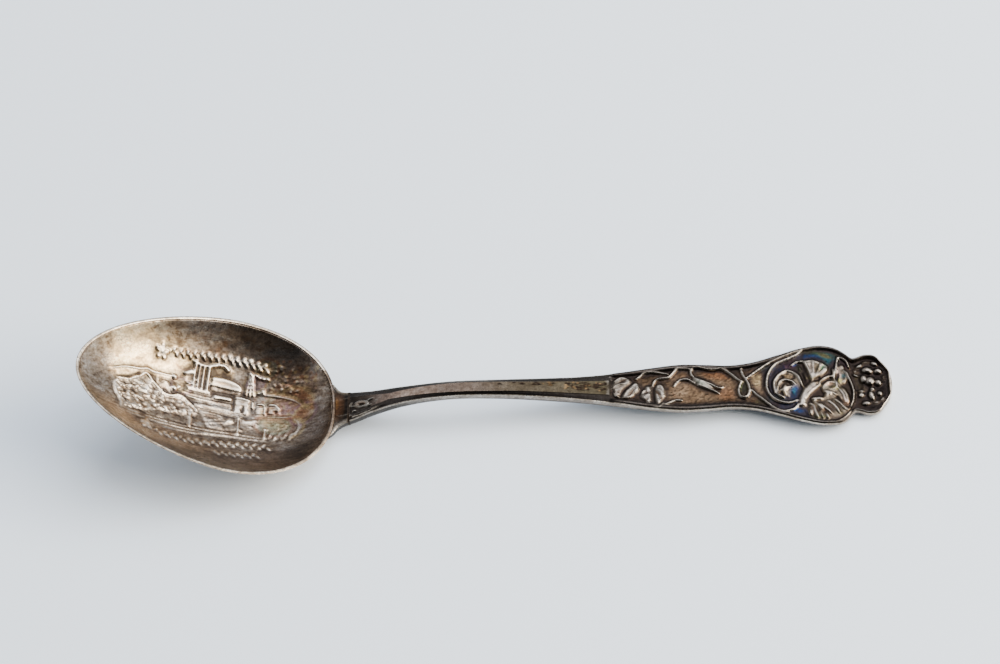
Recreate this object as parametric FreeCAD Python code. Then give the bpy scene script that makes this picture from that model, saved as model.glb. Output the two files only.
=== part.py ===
import FreeCAD, Part
import math
import os
from FreeCAD import Vector

# Souvenir teaspoon, at rest on a table. +X runs from the bowl's tip to the handle's end and +Z is up.
# The origin is under the middle of the overall box, on the table. Every length is in millimetres.
# "Station" is the distance along X from the bowl's tip.

os.makedirs("parts", exist_ok=True)

# ---------------------------------------------------------------- driving dimensions
LENGTH = 140.0            # overall, bowl tip to handle end
BOWL_LENGTH = 46.5        # along the rim, neck to tip
BOWL_WIDTH = 31.2         # over the rim
BOWL_DEPTH = 7.3          # inside, below the rim
BOWL_TILT = 25.0          # degrees the rim rises towards the tip when the spoon lies down
WIDEST = 18.6             # from the neck to the widest place, along the rim
RIM_SAG = 1.5             # how far the rim dips between neck and tip
WALL = 0.90               # sheet thickness of the bowl
RIM_LAND = 0.6            # width of the rim's flat edge

SEAM_STATION = 44.4       # where the handle is soldered on
SEAM_WIDTH = 0.3

PANEL_START = 91.5        # the stem opens into the ornamental panel here
PANEL_END = 131.6         # the panel closes before the terminal
BORDER = 0.75             # raised border round the panel
RECESS = 0.35             # depth of the panel's ground below the border
EDGE_SHARE = 0.42         # share of the handle's thickness that is upright edge; the rest is rounded back

GROOVE_START = 50.0       # a groove runs along each side of the stem
GROOVE_END = 90.0
GROOVE_OFFSET = 0.30      # in from the edge
GROOVE_WIDTH = 0.35
GROOVE_DEPTH = 0.25

EMBOSS = 0.35             # height of the bowl's picture
LIP = 0.20                # upright inner edge of the rim, above the curve of the bowl
SEAT_CUT = 0.05           # how much wear has flattened the bowl's back where it rests

# Handle: station, half width at the top edge, height of the top face, thickness
HANDLE_SECTIONS = [
    (38.5, 3.00, 3.40, 1.80),
    (41.0, 3.10, 3.42, 2.20),
    (43.0, 3.02, 3.52, 2.35),
    (45.0, 2.85, 4.05, 2.50),
    (48.5, 2.20, 5.25, 2.50),
    (54.0, 1.66, 6.95, 2.40),
    (63.0, 1.49, 8.15, 2.15),
    (71.0, 1.57, 7.75, 2.25),
    (79.0, 1.88, 6.80, 2.40),
    (86.0, 2.37, 5.80, 2.40),
    (93.0, 3.27, 4.95, 2.30),
    (98.0, 4.10, 4.45, 2.10),
    (103.5, 4.72, 4.08, 1.95),
    (108.0, 4.56, 3.76, 1.85),
    (112.0, 4.33, 3.55, 1.80),
    (116.0, 4.80, 3.42, 1.80),
    (120.5, 6.15, 3.20, 1.75),
    (124.5, 7.45, 2.88, 1.75),
    (128.0, 8.05, 2.48, 1.75),
    (131.0, 7.30, 2.10, 1.75),
    (133.4, 5.35, 1.90, 1.90),
]
SHOULDERS = [(39.5, 5.80), (41.3, 5.35), (42.2, 4.30), (43.0, 3.40), (43.8, 2.70)]   # station, half width
SHOULDER_BACK = 2.00      # the shoulders widen the neck at the bowl's rim; heights of their back and top
SHOULDER_TOP = 3.25
TERMINAL_TOP = 1.75       # height of the terminal's top face; its back lies flat on the table
TERMINAL_OVERLAP = 0.6    # how far the terminal's block runs back into the panel
SIDE_LOBE = (136.0, 3.65, 2.40)   # station, offset from the middle, radius
END_LOBE = (137.4, 0.0, 2.60)


# Ornament standing on the panel's ground: station, offset, length, width, turn in degrees
BLOSSOMS = [
    (92.9, 1.2, 2.2, 3.0, 20),
    (94.6, 0.6, 2.0, 4.2, -15),
    (97.5, -1.6, 1.7, 3.4, 0),
    (99.7, -1.4, 1.9, 4.4, 0),
]
BUD = (107.3, 1.2, 5.6, 1.7, -35)
LOOP = (114.1, -0.7, 2.1, 3.6, 0)
SCROLL = (121.4, -0.8, 7.0, 8.2, 0)
CURLED_LEAF = (121.6, 0.0, 4.2, 5.2, 0)
FLOWER = [(124.8, 0.2, 1.3, 8.6, 8), (127.0, 3.0, 1.6, 4.4, -12), (128.4, -0.4, 6.0, 2.4, 25)]
FLUTE = (125.6, -5.2, 0.8, 3.8, -20)      # first of the fluted leaf's ridges
FLUTE_STEP = (1.25, 0.15, 0.0, 0.0, 8)    # from each ridge to the next
FLUTES = 5
LOOP_WIRE = 0.5           # thickness of the loop
SCROLL_WIRE = 0.6         # thickness of the scroll
PROUD = 0.15              # how far the ornament stands above the border
ROOT = 0.05               # how far its foot is sunk into the ground

BERRY_RADIUS = 0.62
BERRY_RINGS = [(1, 0.0), (6, 1.55), (8, 3.05)]    # number of berries and radius of each ring
BERRY_SQUEEZE = (0.8, 1.25)                       # the rings are ovals: along and across the spoon

# The bowl's picture. Lengths along it are from the bowl's tip, heights are across the spoon.
HILL = [
    (7.7, 2.3), (10.0, 3.6), (13.5, 4.6), (16.0, 2.6), (20.5, 1.6),
    (23.5, -0.6), (22.0, -4.0), (16.0, -3.8), (10.5, -4.5), (8.8, -2.6),
]
CHIMNEY = (22.1, 22.7, 4.2, 8.0)          # left, right, foot, top of the first one
CHIMNEY_PITCH = 1.05
CHIMNEYS = 3
TERRACES = [(20.8, 29.5, 3.3, 4.1), (23.0, 30.0, 0.8, 2.1), (15.0, 36.0, -5.0, -4.6)]
SHEDS = [                                 # left, right, foot, eaves, ridge
    (25.3, 31.0, 4.5, 5.8, 6.7),
    (30.3, 33.0, 0.9, 3.2, 4.0),
    (34.4, 36.0, 0.9, 2.6, 3.3),
    (36.5, 38.4, 0.6, 1.6, 2.3),
]
HEADFRAME = [(31.3, 4.9), (33.1, 4.9), (32.5, 8.1), (31.9, 8.1)]

BOWL_SECTIONS = 16        # cross-sections that shape the bowl
FIRST_SECTION = 0.012     # the end sections stop this share of a half turn short of the tip and neck
HEADROOM = 6.0            # how far the hollow's tool stands above the rim
TALL = 40.0               # longer than anything the extrusions have to pass through

# ---------------------------------------------------------------- worked out
MIDDLE = LENGTH / 2.0
TILT = math.radians(BOWL_TILT)
NECK_X = BOWL_LENGTH * math.cos(TILT) - MIDDLE
TIP_SPAN = BOWL_LENGTH - WIDEST
TERMINAL_STATION = HANDLE_SECTIONS[-1][0]


def half_width(u, shrink=0.0):
    """Half width of the bowl's plan at u along the rim from the neck, drawn in by shrink."""
    length_back = WIDEST - shrink
    length_front = TIP_SPAN - shrink
    d = u - WIDEST
    if d < 0:
        rest = max(0.0, 1.0 - (-d / length_back) ** 2.2)
        shape = rest ** (1 / 2.3)
    else:
        rest = max(0.0, 1.0 - (d / length_front) ** 1.6)
        shape = rest ** (1 / 1.95)
    return (BOWL_WIDTH / 2.0 - shrink) * shape


def depth_below_rim(u, deepest, shrink=0.0):
    """Depth of the bowl's middle line below its rim."""
    d = u - WIDEST
    if d < 0:
        part = -d / (WIDEST - shrink)
        power = 2.3
    else:
        part = d / (TIP_SPAN - shrink)
        power = 2.0
    return deepest * max(0.0, 1.0 - part ** power) ** 0.8


def rim_height(u):
    """The rim dips gently between neck and tip, most at a quarter of the way."""
    part = min(max(u / BOWL_LENGTH, 0.0), 1.0)
    return -RIM_SAG * math.sin(math.pi * part ** 0.6) ** 1.5


def lowest_back():
    """Lowest point of the bowl's back below the neck, along Z, once the bowl is tilted."""
    lowest = 0.0
    for step in range(1, 200):
        u = BOWL_LENGTH * step / 200.0
        height = rim_height(u) - depth_below_rim(u, BOWL_DEPTH + WALL)
        lowest = min(lowest, u * math.sin(TILT) + height * math.cos(TILT))
    return lowest


NECK_Z = -lowest_back() - SEAT_CUT


def spline(points):
    curve = Part.BSplineCurve()
    curve.interpolate(points)
    return curve.toShape()


def place_bowl(shape):
    """Bowl frame (u from neck to tip, v across, height over the rim line) to the spoon's frame."""
    placed = shape.copy()
    placed.rotate(Vector(0, 0, 0), Vector(0, 0, 1), 180)
    placed.rotate(Vector(0, 0, 0), Vector(0, 1, 0), BOWL_TILT)
    placed.translate(Vector(NECK_X, 0, NECK_Z))
    return placed


def bowl_section(u, shrink, deepest, lip):
    """One cross-section: a round bottom, closed by a straight line over the rim.

    With a lip, the section is that of a hollow: its sides stand upright through the rim.
    """
    width = half_width(u, shrink)
    depth = depth_below_rim(u, deepest - lip, shrink)
    top = rim_height(u) - lip
    points = []
    for step in range(0, 13):
        v = width * math.cos(math.pi * step / 12.0)
        fall = depth * max(0.0, 1.0 - (v / width) ** 2) ** 0.9
        points.append(Vector(u, v, top - fall))
    right = points[0]
    left = points[-1]
    if not lip:
        return Part.Wire([spline(points), Part.LineSegment(left, right).toShape()])
    left_up = left + Vector(0, 0, HEADROOM)
    right_up = right + Vector(0, 0, HEADROOM)
    return Part.Wire([
        spline(points),
        Part.LineSegment(left, left_up).toShape(),
        Part.LineSegment(left_up, right_up).toShape(),
        Part.LineSegment(right_up, right).toShape(),
    ])


def bowl_body(shrink, deepest, lip=0.0):
    """Solid of the bowl's outside, or with a lip of its hollow, in the bowl's own frame."""
    first = shrink
    last = BOWL_LENGTH - shrink
    sections = []
    for step in range(BOWL_SECTIONS + 1):
        turn = FIRST_SECTION + (1.0 - 2.0 * FIRST_SECTION) * step / BOWL_SECTIONS
        part = 0.5 - 0.5 * math.cos(math.pi * turn)
        sections.append(bowl_section(first + (last - first) * part, shrink, deepest, lip))
    return Part.makeLoft(sections, True, False)


def at(section):
    """A handle section's station and half width as a point of the plan."""
    return Vector(section[0] - MIDDLE, section[1], 0)


def mirrored(points):
    return [Vector(p.x, -p.y, p.z) for p in points]


def side_plan(offset, first, last):
    """Plan points of one side of the handle between two stations, drawn in by offset."""
    points = []
    for section in HANDLE_SECTIONS:
        if first <= section[0] <= last:
            points.append(at(section) - Vector(0, offset, 0))
    return points


def prism(edges):
    """Tall upright block over a closed outline."""
    face = Part.Face(Part.Wire(Part.__sortEdges__(edges)))
    face.translate(Vector(0, 0, -TALL / 2.0))
    return face.extrude(Vector(0, 0, TALL))


def closed_plan(points):
    """Edges of a plan with one spline side, its mirror image and two straight ends."""
    other = mirrored(points)
    return [
        spline(points),
        spline(other),
        Part.LineSegment(points[0], other[0]).toShape(),
        Part.LineSegment(points[-1], other[-1]).toShape(),
    ]


def lobe(station, offset, radius):
    return Part.makeCylinder(radius, TERMINAL_TOP, Vector(station - MIDDLE, offset, 0.0))


def terminal(inset=0.0):
    """Block of the three-lobed terminal, flat on the table; its outline can be drawn in."""
    station, offset, radius = SIDE_LOBE
    waist = HANDLE_SECTIONS[-1][1] - ROOT
    lobes = [
        lobe(station, offset, radius - inset),
        lobe(station, -offset, radius - inset),
        lobe(END_LOBE[0], END_LOBE[1], END_LOBE[2] - inset),
    ]
    start = TERMINAL_STATION - TERMINAL_OVERLAP + inset
    core = Part.makeBox(station - start, 2 * (waist - inset), TERMINAL_TOP)
    core.translate(Vector(start - MIDDLE, inset - waist, 0.0))
    middle = Part.makeBox(radius, 2 * offset, TERMINAL_TOP)
    middle.translate(Vector(station - MIDDLE - radius / 4.0, -offset, 0.0))
    return core.multiFuse(lobes + [middle])


def stem_section(section):
    """Cross-section of the handle: flat top, upright edges and a rounded back."""
    station, width, top, thick = section
    x = station - MIDDLE
    edge = top - EDGE_SHARE * thick
    right_top = Vector(x, width, top)
    right = Vector(x, width, edge)
    left = Vector(x, -width, edge)
    left_top = Vector(x, -width, top)
    back = []
    for step in range(0, 9):
        angle = math.pi * step / 8.0
        y = width * math.copysign(abs(math.cos(angle)) ** 0.8, math.cos(angle))
        back.append(Vector(x, y, edge - (1.0 - EDGE_SHARE) * thick * math.sin(angle) ** 0.8))
    return Part.Wire([
        Part.LineSegment(left_top, right_top).toShape(),
        Part.LineSegment(right_top, right).toShape(),
        spline(back),
        Part.LineSegment(left, left_top).toShape(),
    ])


def shoulders():
    """Plate that widens the neck where it runs into the bowl's rim."""
    block = prism(closed_plan([at(place) for place in SHOULDERS]))
    heights = Part.makeBox(TALL, TALL, SHOULDER_TOP - SHOULDER_BACK)
    heights.translate(Vector(SHOULDERS[0][0] - MIDDLE - 1.0, -TALL / 2.0, SHOULDER_BACK))
    return block.common(heights)


def handle_blank():
    """The whole handle before its ornament, running on into the bowl's neck."""
    stem = Part.makeLoft([stem_section(section) for section in HANDLE_SECTIONS], True, False)
    return stem.fuse(terminal())


def top_line(lift):
    """The top face's side profile, moved up or down."""
    return [Vector(s[0] - MIDDLE, -TALL / 2.0, s[2] + lift) for s in HANDLE_SECTIONS]


def layer(lower, upper):
    """Everything between the top face moved by lower and the top face moved by upper."""
    low = top_line(lower)
    top = top_line(upper)
    edges = [
        spline(top),
        spline(low),
        Part.LineSegment(top[0], low[0]).toShape(),
        Part.LineSegment(top[-1], low[-1]).toShape(),
    ]
    face = Part.Face(Part.Wire(Part.__sortEdges__(edges)))
    return face.extrude(Vector(0, TALL, 0))


# ---------------------------------------------------------------- bowl
def bar(first, last, low, high):
    """Upright block of the picture: between two distances from the tip and two heights in the picture."""
    box = Part.makeBox(last - first, high - low, TALL)
    box.translate(Vector(BOWL_LENGTH - last, -high, -TALL / 2.0))
    return box


def patch(points):
    """Upright block of the picture with a pointed outline: distance from the tip, height in the picture."""
    corners = [Vector(BOWL_LENGTH - p[0], -p[1], 0) for p in points]
    return prism(Part.makePolygon(corners + [corners[0]]).Edges)


def gabled(first, last, low, eaves, ridge):
    """A shed: straight walls up to the eaves and a pitched roof."""
    middle = (first + last) / 2.0
    return patch([(first, low), (last, low), (last, eaves), (middle, ridge), (first, eaves)])


def picture():
    """The mining scene struck into the bowl: a hill, chimneys, sheds, terraces and a headframe."""
    shapes = [patch(HILL), patch(HEADFRAME)]
    left, right, foot, top = CHIMNEY
    for number in range(CHIMNEYS):
        along = number * CHIMNEY_PITCH
        shapes.append(bar(left + along, right + along, foot, top))
    for terrace in TERRACES:
        shapes.append(bar(*terrace))
    for shed in SHEDS:
        shapes.append(gabled(*shed))
    return shapes


def make_bowl(stem):
    outside = bowl_body(0.0, BOWL_DEPTH + WALL)
    hollow = bowl_body(RIM_LAND, BOWL_DEPTH, LIP)
    raised = bowl_body(RIM_LAND, BOWL_DEPTH - EMBOSS, LIP)
    core = bowl_body(RIM_LAND / 2.0, BOWL_DEPTH + WALL / 2.0)
    shell = outside.cut(hollow)
    struck = [shape.common(core).cut(raised) for shape in picture()]
    shell = shell.multiFuse(struck)
    stub = stem.common(slab(0.0, SEAM_STATION)).fuse(shoulders()).cut(place_bowl(hollow))
    stub = max(stub.Solids, key=lambda solid: solid.BoundBox.XMax)
    bowl = place_bowl(shell).fuse(stub)
    table = Part.makeBox(2 * LENGTH, LENGTH, TALL)
    table.translate(Vector(-LENGTH, -MIDDLE, -TALL))
    return bowl.cut(table).removeSplitter()


# ---------------------------------------------------------------- handle
def slab(first, last):
    """Everything between two stations."""
    box = Part.makeBox(last - first, TALL, TALL)
    box.translate(Vector(first - MIDDLE, -TALL / 2.0, -TALL / 2.0))
    return box


def oval(station, offset, length, width, turn=0.0):
    """Tall oval prism, its long way turned from the spoon's length by an angle in degrees."""
    long_way = max(length, width) / 2.0
    short_way = min(length, width) / 2.0
    ellipse = Part.Ellipse(Vector(0, 0, 0), long_way, short_way)
    shape = prism([ellipse.toShape()])
    if width > length:
        turn += 90.0
    shape.rotate(Vector(0, 0, 0), Vector(0, 0, 1), turn)
    shape.translate(Vector(station - MIDDLE, offset, 0))
    return shape


def ring(outline, thick):
    station, offset, length, width, turn = outline
    inner = oval(station, offset, length - 2 * thick, width - 2 * thick, turn)
    return oval(*outline).cut(inner)


def ornament():
    """Blossoms, bud, loop, scroll, leaves and flower that stand on the panel's ground."""
    shapes = [oval(*leaf) for leaf in BLOSSOMS + [BUD, CURLED_LEAF] + FLOWER]
    shapes.append(ring(LOOP, LOOP_WIRE))
    shapes.append(ring(SCROLL, SCROLL_WIRE))
    for number in range(FLUTES):
        shapes.append(oval(*[first + number * step for first, step in zip(FLUTE, FLUTE_STEP)]))
    return shapes


def berries():
    """Small round berries in the sunk middle of the terminal: one in the centre and two rings of them."""
    along, across = BERRY_SQUEEZE
    shapes = []
    for count, spread in BERRY_RINGS:
        for number in range(count):
            angle = 2.0 * math.pi * number / count
            x = SIDE_LOBE[0] - MIDDLE + along * spread * math.cos(angle)
            y = across * spread * math.sin(angle)
            shapes.append(Part.makeSphere(BERRY_RADIUS, Vector(x, y, TERMINAL_TOP - RECESS)))
    return shapes


def stem_grooves():
    """A shallow groove just inside each edge of the stem."""
    outer = prism(closed_plan(side_plan(GROOVE_OFFSET, GROOVE_START, GROOVE_END)))
    inner = prism(closed_plan(side_plan(GROOVE_OFFSET + GROOVE_WIDTH, GROOVE_START, GROOVE_END)))
    return outer.cut(inner).common(layer(-GROOVE_DEPTH, HEADROOM))


def make_handle(stem):
    panel = prism(closed_plan(side_plan(BORDER, PANEL_START, PANEL_END)))
    sunk = terminal(BORDER)
    sunk.translate(Vector(0, 0, TERMINAL_TOP - RECESS))
    handle = stem.common(slab(SEAM_STATION + SEAM_WIDTH, LENGTH + 1.0))
    for tool in (panel.common(layer(-RECESS, HEADROOM)), sunk, stem_grooves()):
        handle = handle.cut(tool)
    relief = layer(-RECESS - ROOT, PROUD)
    struck = [shape.common(relief) for shape in ornament()]
    room = terminal()
    room.translate(Vector(0, 0, RECESS))
    struck += [shape.common(room) for shape in berries()]
    return handle.multiFuse(struck).removeSplitter()


def make_seam(stem):
    """Thin collar of hard solder between the bowl's stub and the handle."""
    return stem.common(slab(SEAM_STATION, SEAM_STATION + SEAM_WIDTH))


def main():
    stem = handle_blank()
    pieces = {
        "bowl": make_bowl(stem),
        "solder_seam": make_seam(stem),
        "handle": make_handle(stem),
    }
    for name, shape in pieces.items():
        print(name, len(shape.Solids), round(shape.Volume, 1), shape.isValid(), shape.BoundBox)
        shape.exportStep(os.path.join("parts", name + ".step"))


main()
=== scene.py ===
import math

import bpy
import numpy as np
from mathutils import Matrix, Vector


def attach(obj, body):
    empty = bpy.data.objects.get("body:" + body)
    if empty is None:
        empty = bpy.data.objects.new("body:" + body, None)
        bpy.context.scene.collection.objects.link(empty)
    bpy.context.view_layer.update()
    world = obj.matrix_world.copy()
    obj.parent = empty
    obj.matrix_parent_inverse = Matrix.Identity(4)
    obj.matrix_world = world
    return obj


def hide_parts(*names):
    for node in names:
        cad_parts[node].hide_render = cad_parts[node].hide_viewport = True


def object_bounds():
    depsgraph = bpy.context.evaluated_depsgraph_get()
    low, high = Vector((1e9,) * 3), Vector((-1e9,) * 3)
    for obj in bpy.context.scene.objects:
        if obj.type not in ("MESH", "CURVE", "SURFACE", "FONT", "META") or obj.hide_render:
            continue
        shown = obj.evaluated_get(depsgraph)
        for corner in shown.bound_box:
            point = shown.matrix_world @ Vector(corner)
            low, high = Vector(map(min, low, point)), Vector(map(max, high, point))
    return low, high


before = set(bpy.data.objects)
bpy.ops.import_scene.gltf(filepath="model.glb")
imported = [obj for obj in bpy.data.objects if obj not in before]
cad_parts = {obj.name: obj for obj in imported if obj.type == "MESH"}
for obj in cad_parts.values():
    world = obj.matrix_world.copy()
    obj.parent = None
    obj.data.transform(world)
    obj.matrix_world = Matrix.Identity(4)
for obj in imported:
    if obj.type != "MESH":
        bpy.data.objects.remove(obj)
cad_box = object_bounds()

# Every length is in millimetres until a mesh is made.
# "Station" is the distance along X from the bowl's tip, and "across" is measured from the middle line.
# Places in the relief are pairs: (distance from the bowl's tip, across).
MM = 0.001
LENGTH = (cad_box[1][0] - cad_box[0][0]) / MM
TIP_X = cad_box[0][0] / MM

# ---------------------------------------------------------------- the spoon's own dimensions
BOWL_LENGTH = 46.5        # along the rim, neck to tip
BOWL_WIDTH = 31.2         # over the rim
BOWL_DEPTH = 7.3          # inside, below the rim
WIDEST = 18.6             # from the neck to the widest place, along the rim
RIM_SAG = 1.5             # how far the rim dips between neck and tip
WALL = 0.90               # sheet thickness of the bowl
RIM_LAND = 0.6            # width of the rim's flat edge
LIP = 0.20                # upright inner edge of the rim
RIM_EDGE = 0.12           # rounding of the rim's outer edge
TILT = math.radians(25.0)  # how steeply the rim rises towards the tip
NECK_STATION = BOWL_LENGTH * math.cos(TILT)
STUB_START = 39.4         # the neck's stub begins inside the bowl's wall here
SEAM_STATION = 44.4       # where the handle is soldered on
SEAM_WIDTH = 0.3
STEM_START = 50.0         # the widening at the neck ends and the plain stem begins
PANEL_START = 91.0        # the stem opens into the ornamental panel here
SEAT_CUT = 0.05           # how much wear has flattened the bowl's back where it rests
CLEARANCE = 0.01          # between the spoon and the table

# How finely the meshes are divided
BOWL_ROWS = 330
BOWL_COLUMNS = 226
BOWL_BACK_COLUMNS = 34
HANDLE_COLUMNS = 124
HANDLE_BACK_COLUMNS = 32
STUB_ROWS = 44
STUB_COLUMNS = 60
STUB_BACK_COLUMNS = 20
SEAM_ROWS = 9
SEAM_BACK_COLUMNS = 24

BOWL_SEED = 11            # of the random draws in each relief
HANDLE_SEED = 23

# Handle: station, half width, height of the top face, thickness
HANDLE_SECTIONS = np.array([
    (38.5, 3.00, 3.40, 1.80),
    (41.0, 3.10, 3.42, 2.20),
    (43.0, 3.02, 3.52, 2.35),
    (45.0, 2.85, 4.05, 2.50),
    (48.5, 2.20, 5.25, 2.50),
    (54.0, 1.66, 6.95, 2.40),
    (63.0, 1.49, 8.15, 2.15),
    (71.0, 1.57, 7.75, 2.25),
    (79.0, 1.88, 6.80, 2.40),
    (86.0, 2.37, 5.80, 2.40),
    (93.0, 3.27, 4.95, 2.30),
    (98.0, 4.10, 4.45, 2.10),
    (103.5, 4.72, 4.08, 1.95),
    (108.0, 4.56, 3.76, 1.85),
    (112.0, 4.33, 3.55, 1.80),
    (116.0, 4.80, 3.42, 1.80),
    (120.5, 6.15, 3.20, 1.75),
    (124.5, 7.45, 2.88, 1.75),
    (128.0, 8.05, 2.48, 1.75),
    (131.0, 7.30, 2.10, 1.75),
    (132.3, 6.35, 2.00, 1.80),
    (133.3, 5.45, 1.92, 1.85),
    (134.2, 5.60, 1.85, 1.82),
    (135.2, 6.00, 1.80, 1.79),
    (136.2, 6.08, 1.77, 1.77),
    (137.1, 5.92, 1.75, 1.75),
    (137.8, 5.40, 1.75, 1.75),
    (138.3, 4.65, 1.75, 1.75),
    (138.9, 3.85, 1.75, 1.75),
    (139.4, 3.00, 1.75, 1.75),
])
END_CAP = HANDLE_SECTIONS[-1, 0]      # beyond this station the end is rounded off


def curve_through(x, xs, ys):
    """Smooth curve through a few points: Hermite pieces with slopes from their neighbours."""
    slopes = np.gradient(ys, xs)
    at = np.clip(np.searchsorted(xs, x) - 1, 0, len(xs) - 2)
    span = xs[at + 1] - xs[at]
    t = np.clip((x - xs[at]) / span, 0, 1)
    low, high = ys[at], ys[at + 1]
    return (
        low * (1 + 2 * t) * (1 - t) ** 2
        + high * t * t * (3 - 2 * t)
        + span * slopes[at] * t * (1 - t) ** 2
        - span * slopes[at + 1] * t * t * (1 - t)
    )


# ---------------------------------------------------------------- bowl surfaces
def bowl_half_width(u, shrink=0.0):
    """Half width over the rim, or shrink further in, at a distance u from the neck."""
    d = u - WIDEST
    back = np.clip(1 - (np.clip(-d, 0, None) / (WIDEST - shrink)) ** 2.2, 0, 1) ** (1 / 2.3)
    front = np.clip(1 - (np.clip(d, 0, None) / (BOWL_LENGTH - WIDEST - shrink)) ** 1.6, 0, 1) ** (1 / 1.95)
    return (BOWL_WIDTH / 2 - shrink) * np.where(d < 0, back, front)


def bowl_depth(u, deepest, shrink=0.0):
    """Depth along the middle line; deepest is the depth at the widest place."""
    d = u - WIDEST
    back = np.clip(1 - (np.clip(-d, 0, None) / (WIDEST - shrink)) ** 2.3, 0, 1) ** 0.8
    front = np.clip(1 - (np.clip(d, 0, None) / (BOWL_LENGTH - WIDEST - shrink)) ** 2.0, 0, 1) ** 0.8
    return deepest * np.where(d < 0, back, front)


def rim_height(u):
    """Height of the rim over the straight line from neck to tip."""
    part = np.clip(u / BOWL_LENGTH, 0, 1)
    return -RIM_SAG * np.sin(np.pi * part ** 0.6) ** 1.5


def lowest_back():
    """Height of the lowest point of the bowl's back, measured from the neck."""
    u = np.linspace(0, BOWL_LENGTH, 400)
    height = rim_height(u) - bowl_depth(u, BOWL_DEPTH + WALL)
    return float(np.min(u * math.sin(TILT) + height * math.cos(TILT)))


NECK_Z = -lowest_back() - SEAT_CUT


def bowl_to_world(u, across, height):
    """Bowl frame (u from the neck towards the tip, height over the rim line) to stations and heights."""
    station = NECK_STATION - u * math.cos(TILT) + height * math.sin(TILT)
    z = NECK_Z + u * math.sin(TILT) + height * math.cos(TILT)
    return np.stack([station, across, z], axis=-1)


def spread(first, last, count, density):
    """Positions between first and last, packed as densely as the density function says."""
    fine = np.linspace(first, last, 4000)
    weight = np.cumsum(density(fine))
    weight = (weight - weight[0]) / (weight[-1] - weight[0])
    return np.interp(np.linspace(0, 1, count), weight, fine)


def new_piece(name, verts, faces, values):
    """A mesh object from points in millimetres, with one number or colour per point for each attribute."""
    mesh = bpy.data.meshes.new(name)
    points = np.array(verts, float)
    points[:, 0] += TIP_X
    mesh.from_pydata((points * MM).tolist(), [], faces)
    for key, value in values.items():
        kind = "FLOAT" if value.ndim == 1 else "FLOAT_COLOR"
        layer = mesh.attributes.new(key, kind, "POINT")
        data = np.ascontiguousarray(value, np.float32)
        if kind == "FLOAT":
            layer.data.foreach_set("value", data)
        else:
            layer.data.foreach_set("color", data.ravel())
    mesh.polygons.foreach_set("use_smooth", [True] * len(mesh.polygons))
    mesh.update()
    piece = bpy.data.objects.new(name, mesh)
    bpy.context.scene.collection.objects.link(piece)
    return piece


def grid_faces(index, flip=False):
    """Quads over a 2-D array of point numbers, leaving out corners that coincide."""
    a, b = index[:-1, :-1].ravel(), index[1:, :-1].ravel()
    c, d = index[1:, 1:].ravel(), index[:-1, 1:].ravel()
    faces = []
    for quad in zip(a.tolist(), b.tolist(), c.tolist(), d.tolist()):
        corners = []
        for corner in quad:
            if corner not in corners:
                corners.append(corner)
        if len(corners) > 2:
            faces.append(corners[::-1] if flip else corners)
    return faces


def blurred(field, reach):
    """Box blur of a grid along both ways, repeated to be smooth."""
    out = field.copy()
    for _ in range(2):
        for axis in (0, 1):
            padded = np.concatenate([
                np.repeat(np.take(out, [0], axis), reach, axis), out,
                np.repeat(np.take(out, [-1], axis), reach, axis)], axis)
            total = np.cumsum(padded, axis)
            zero = np.zeros_like(np.take(total, [0], axis))
            total = np.concatenate([zero, total], axis)
            size = 2 * reach + 1
            count = out.shape[axis]
            high = np.take(total, range(size, size + count), axis)
            low = np.take(total, range(0, count), axis)
            out = (high - low) / size
    return out


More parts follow.
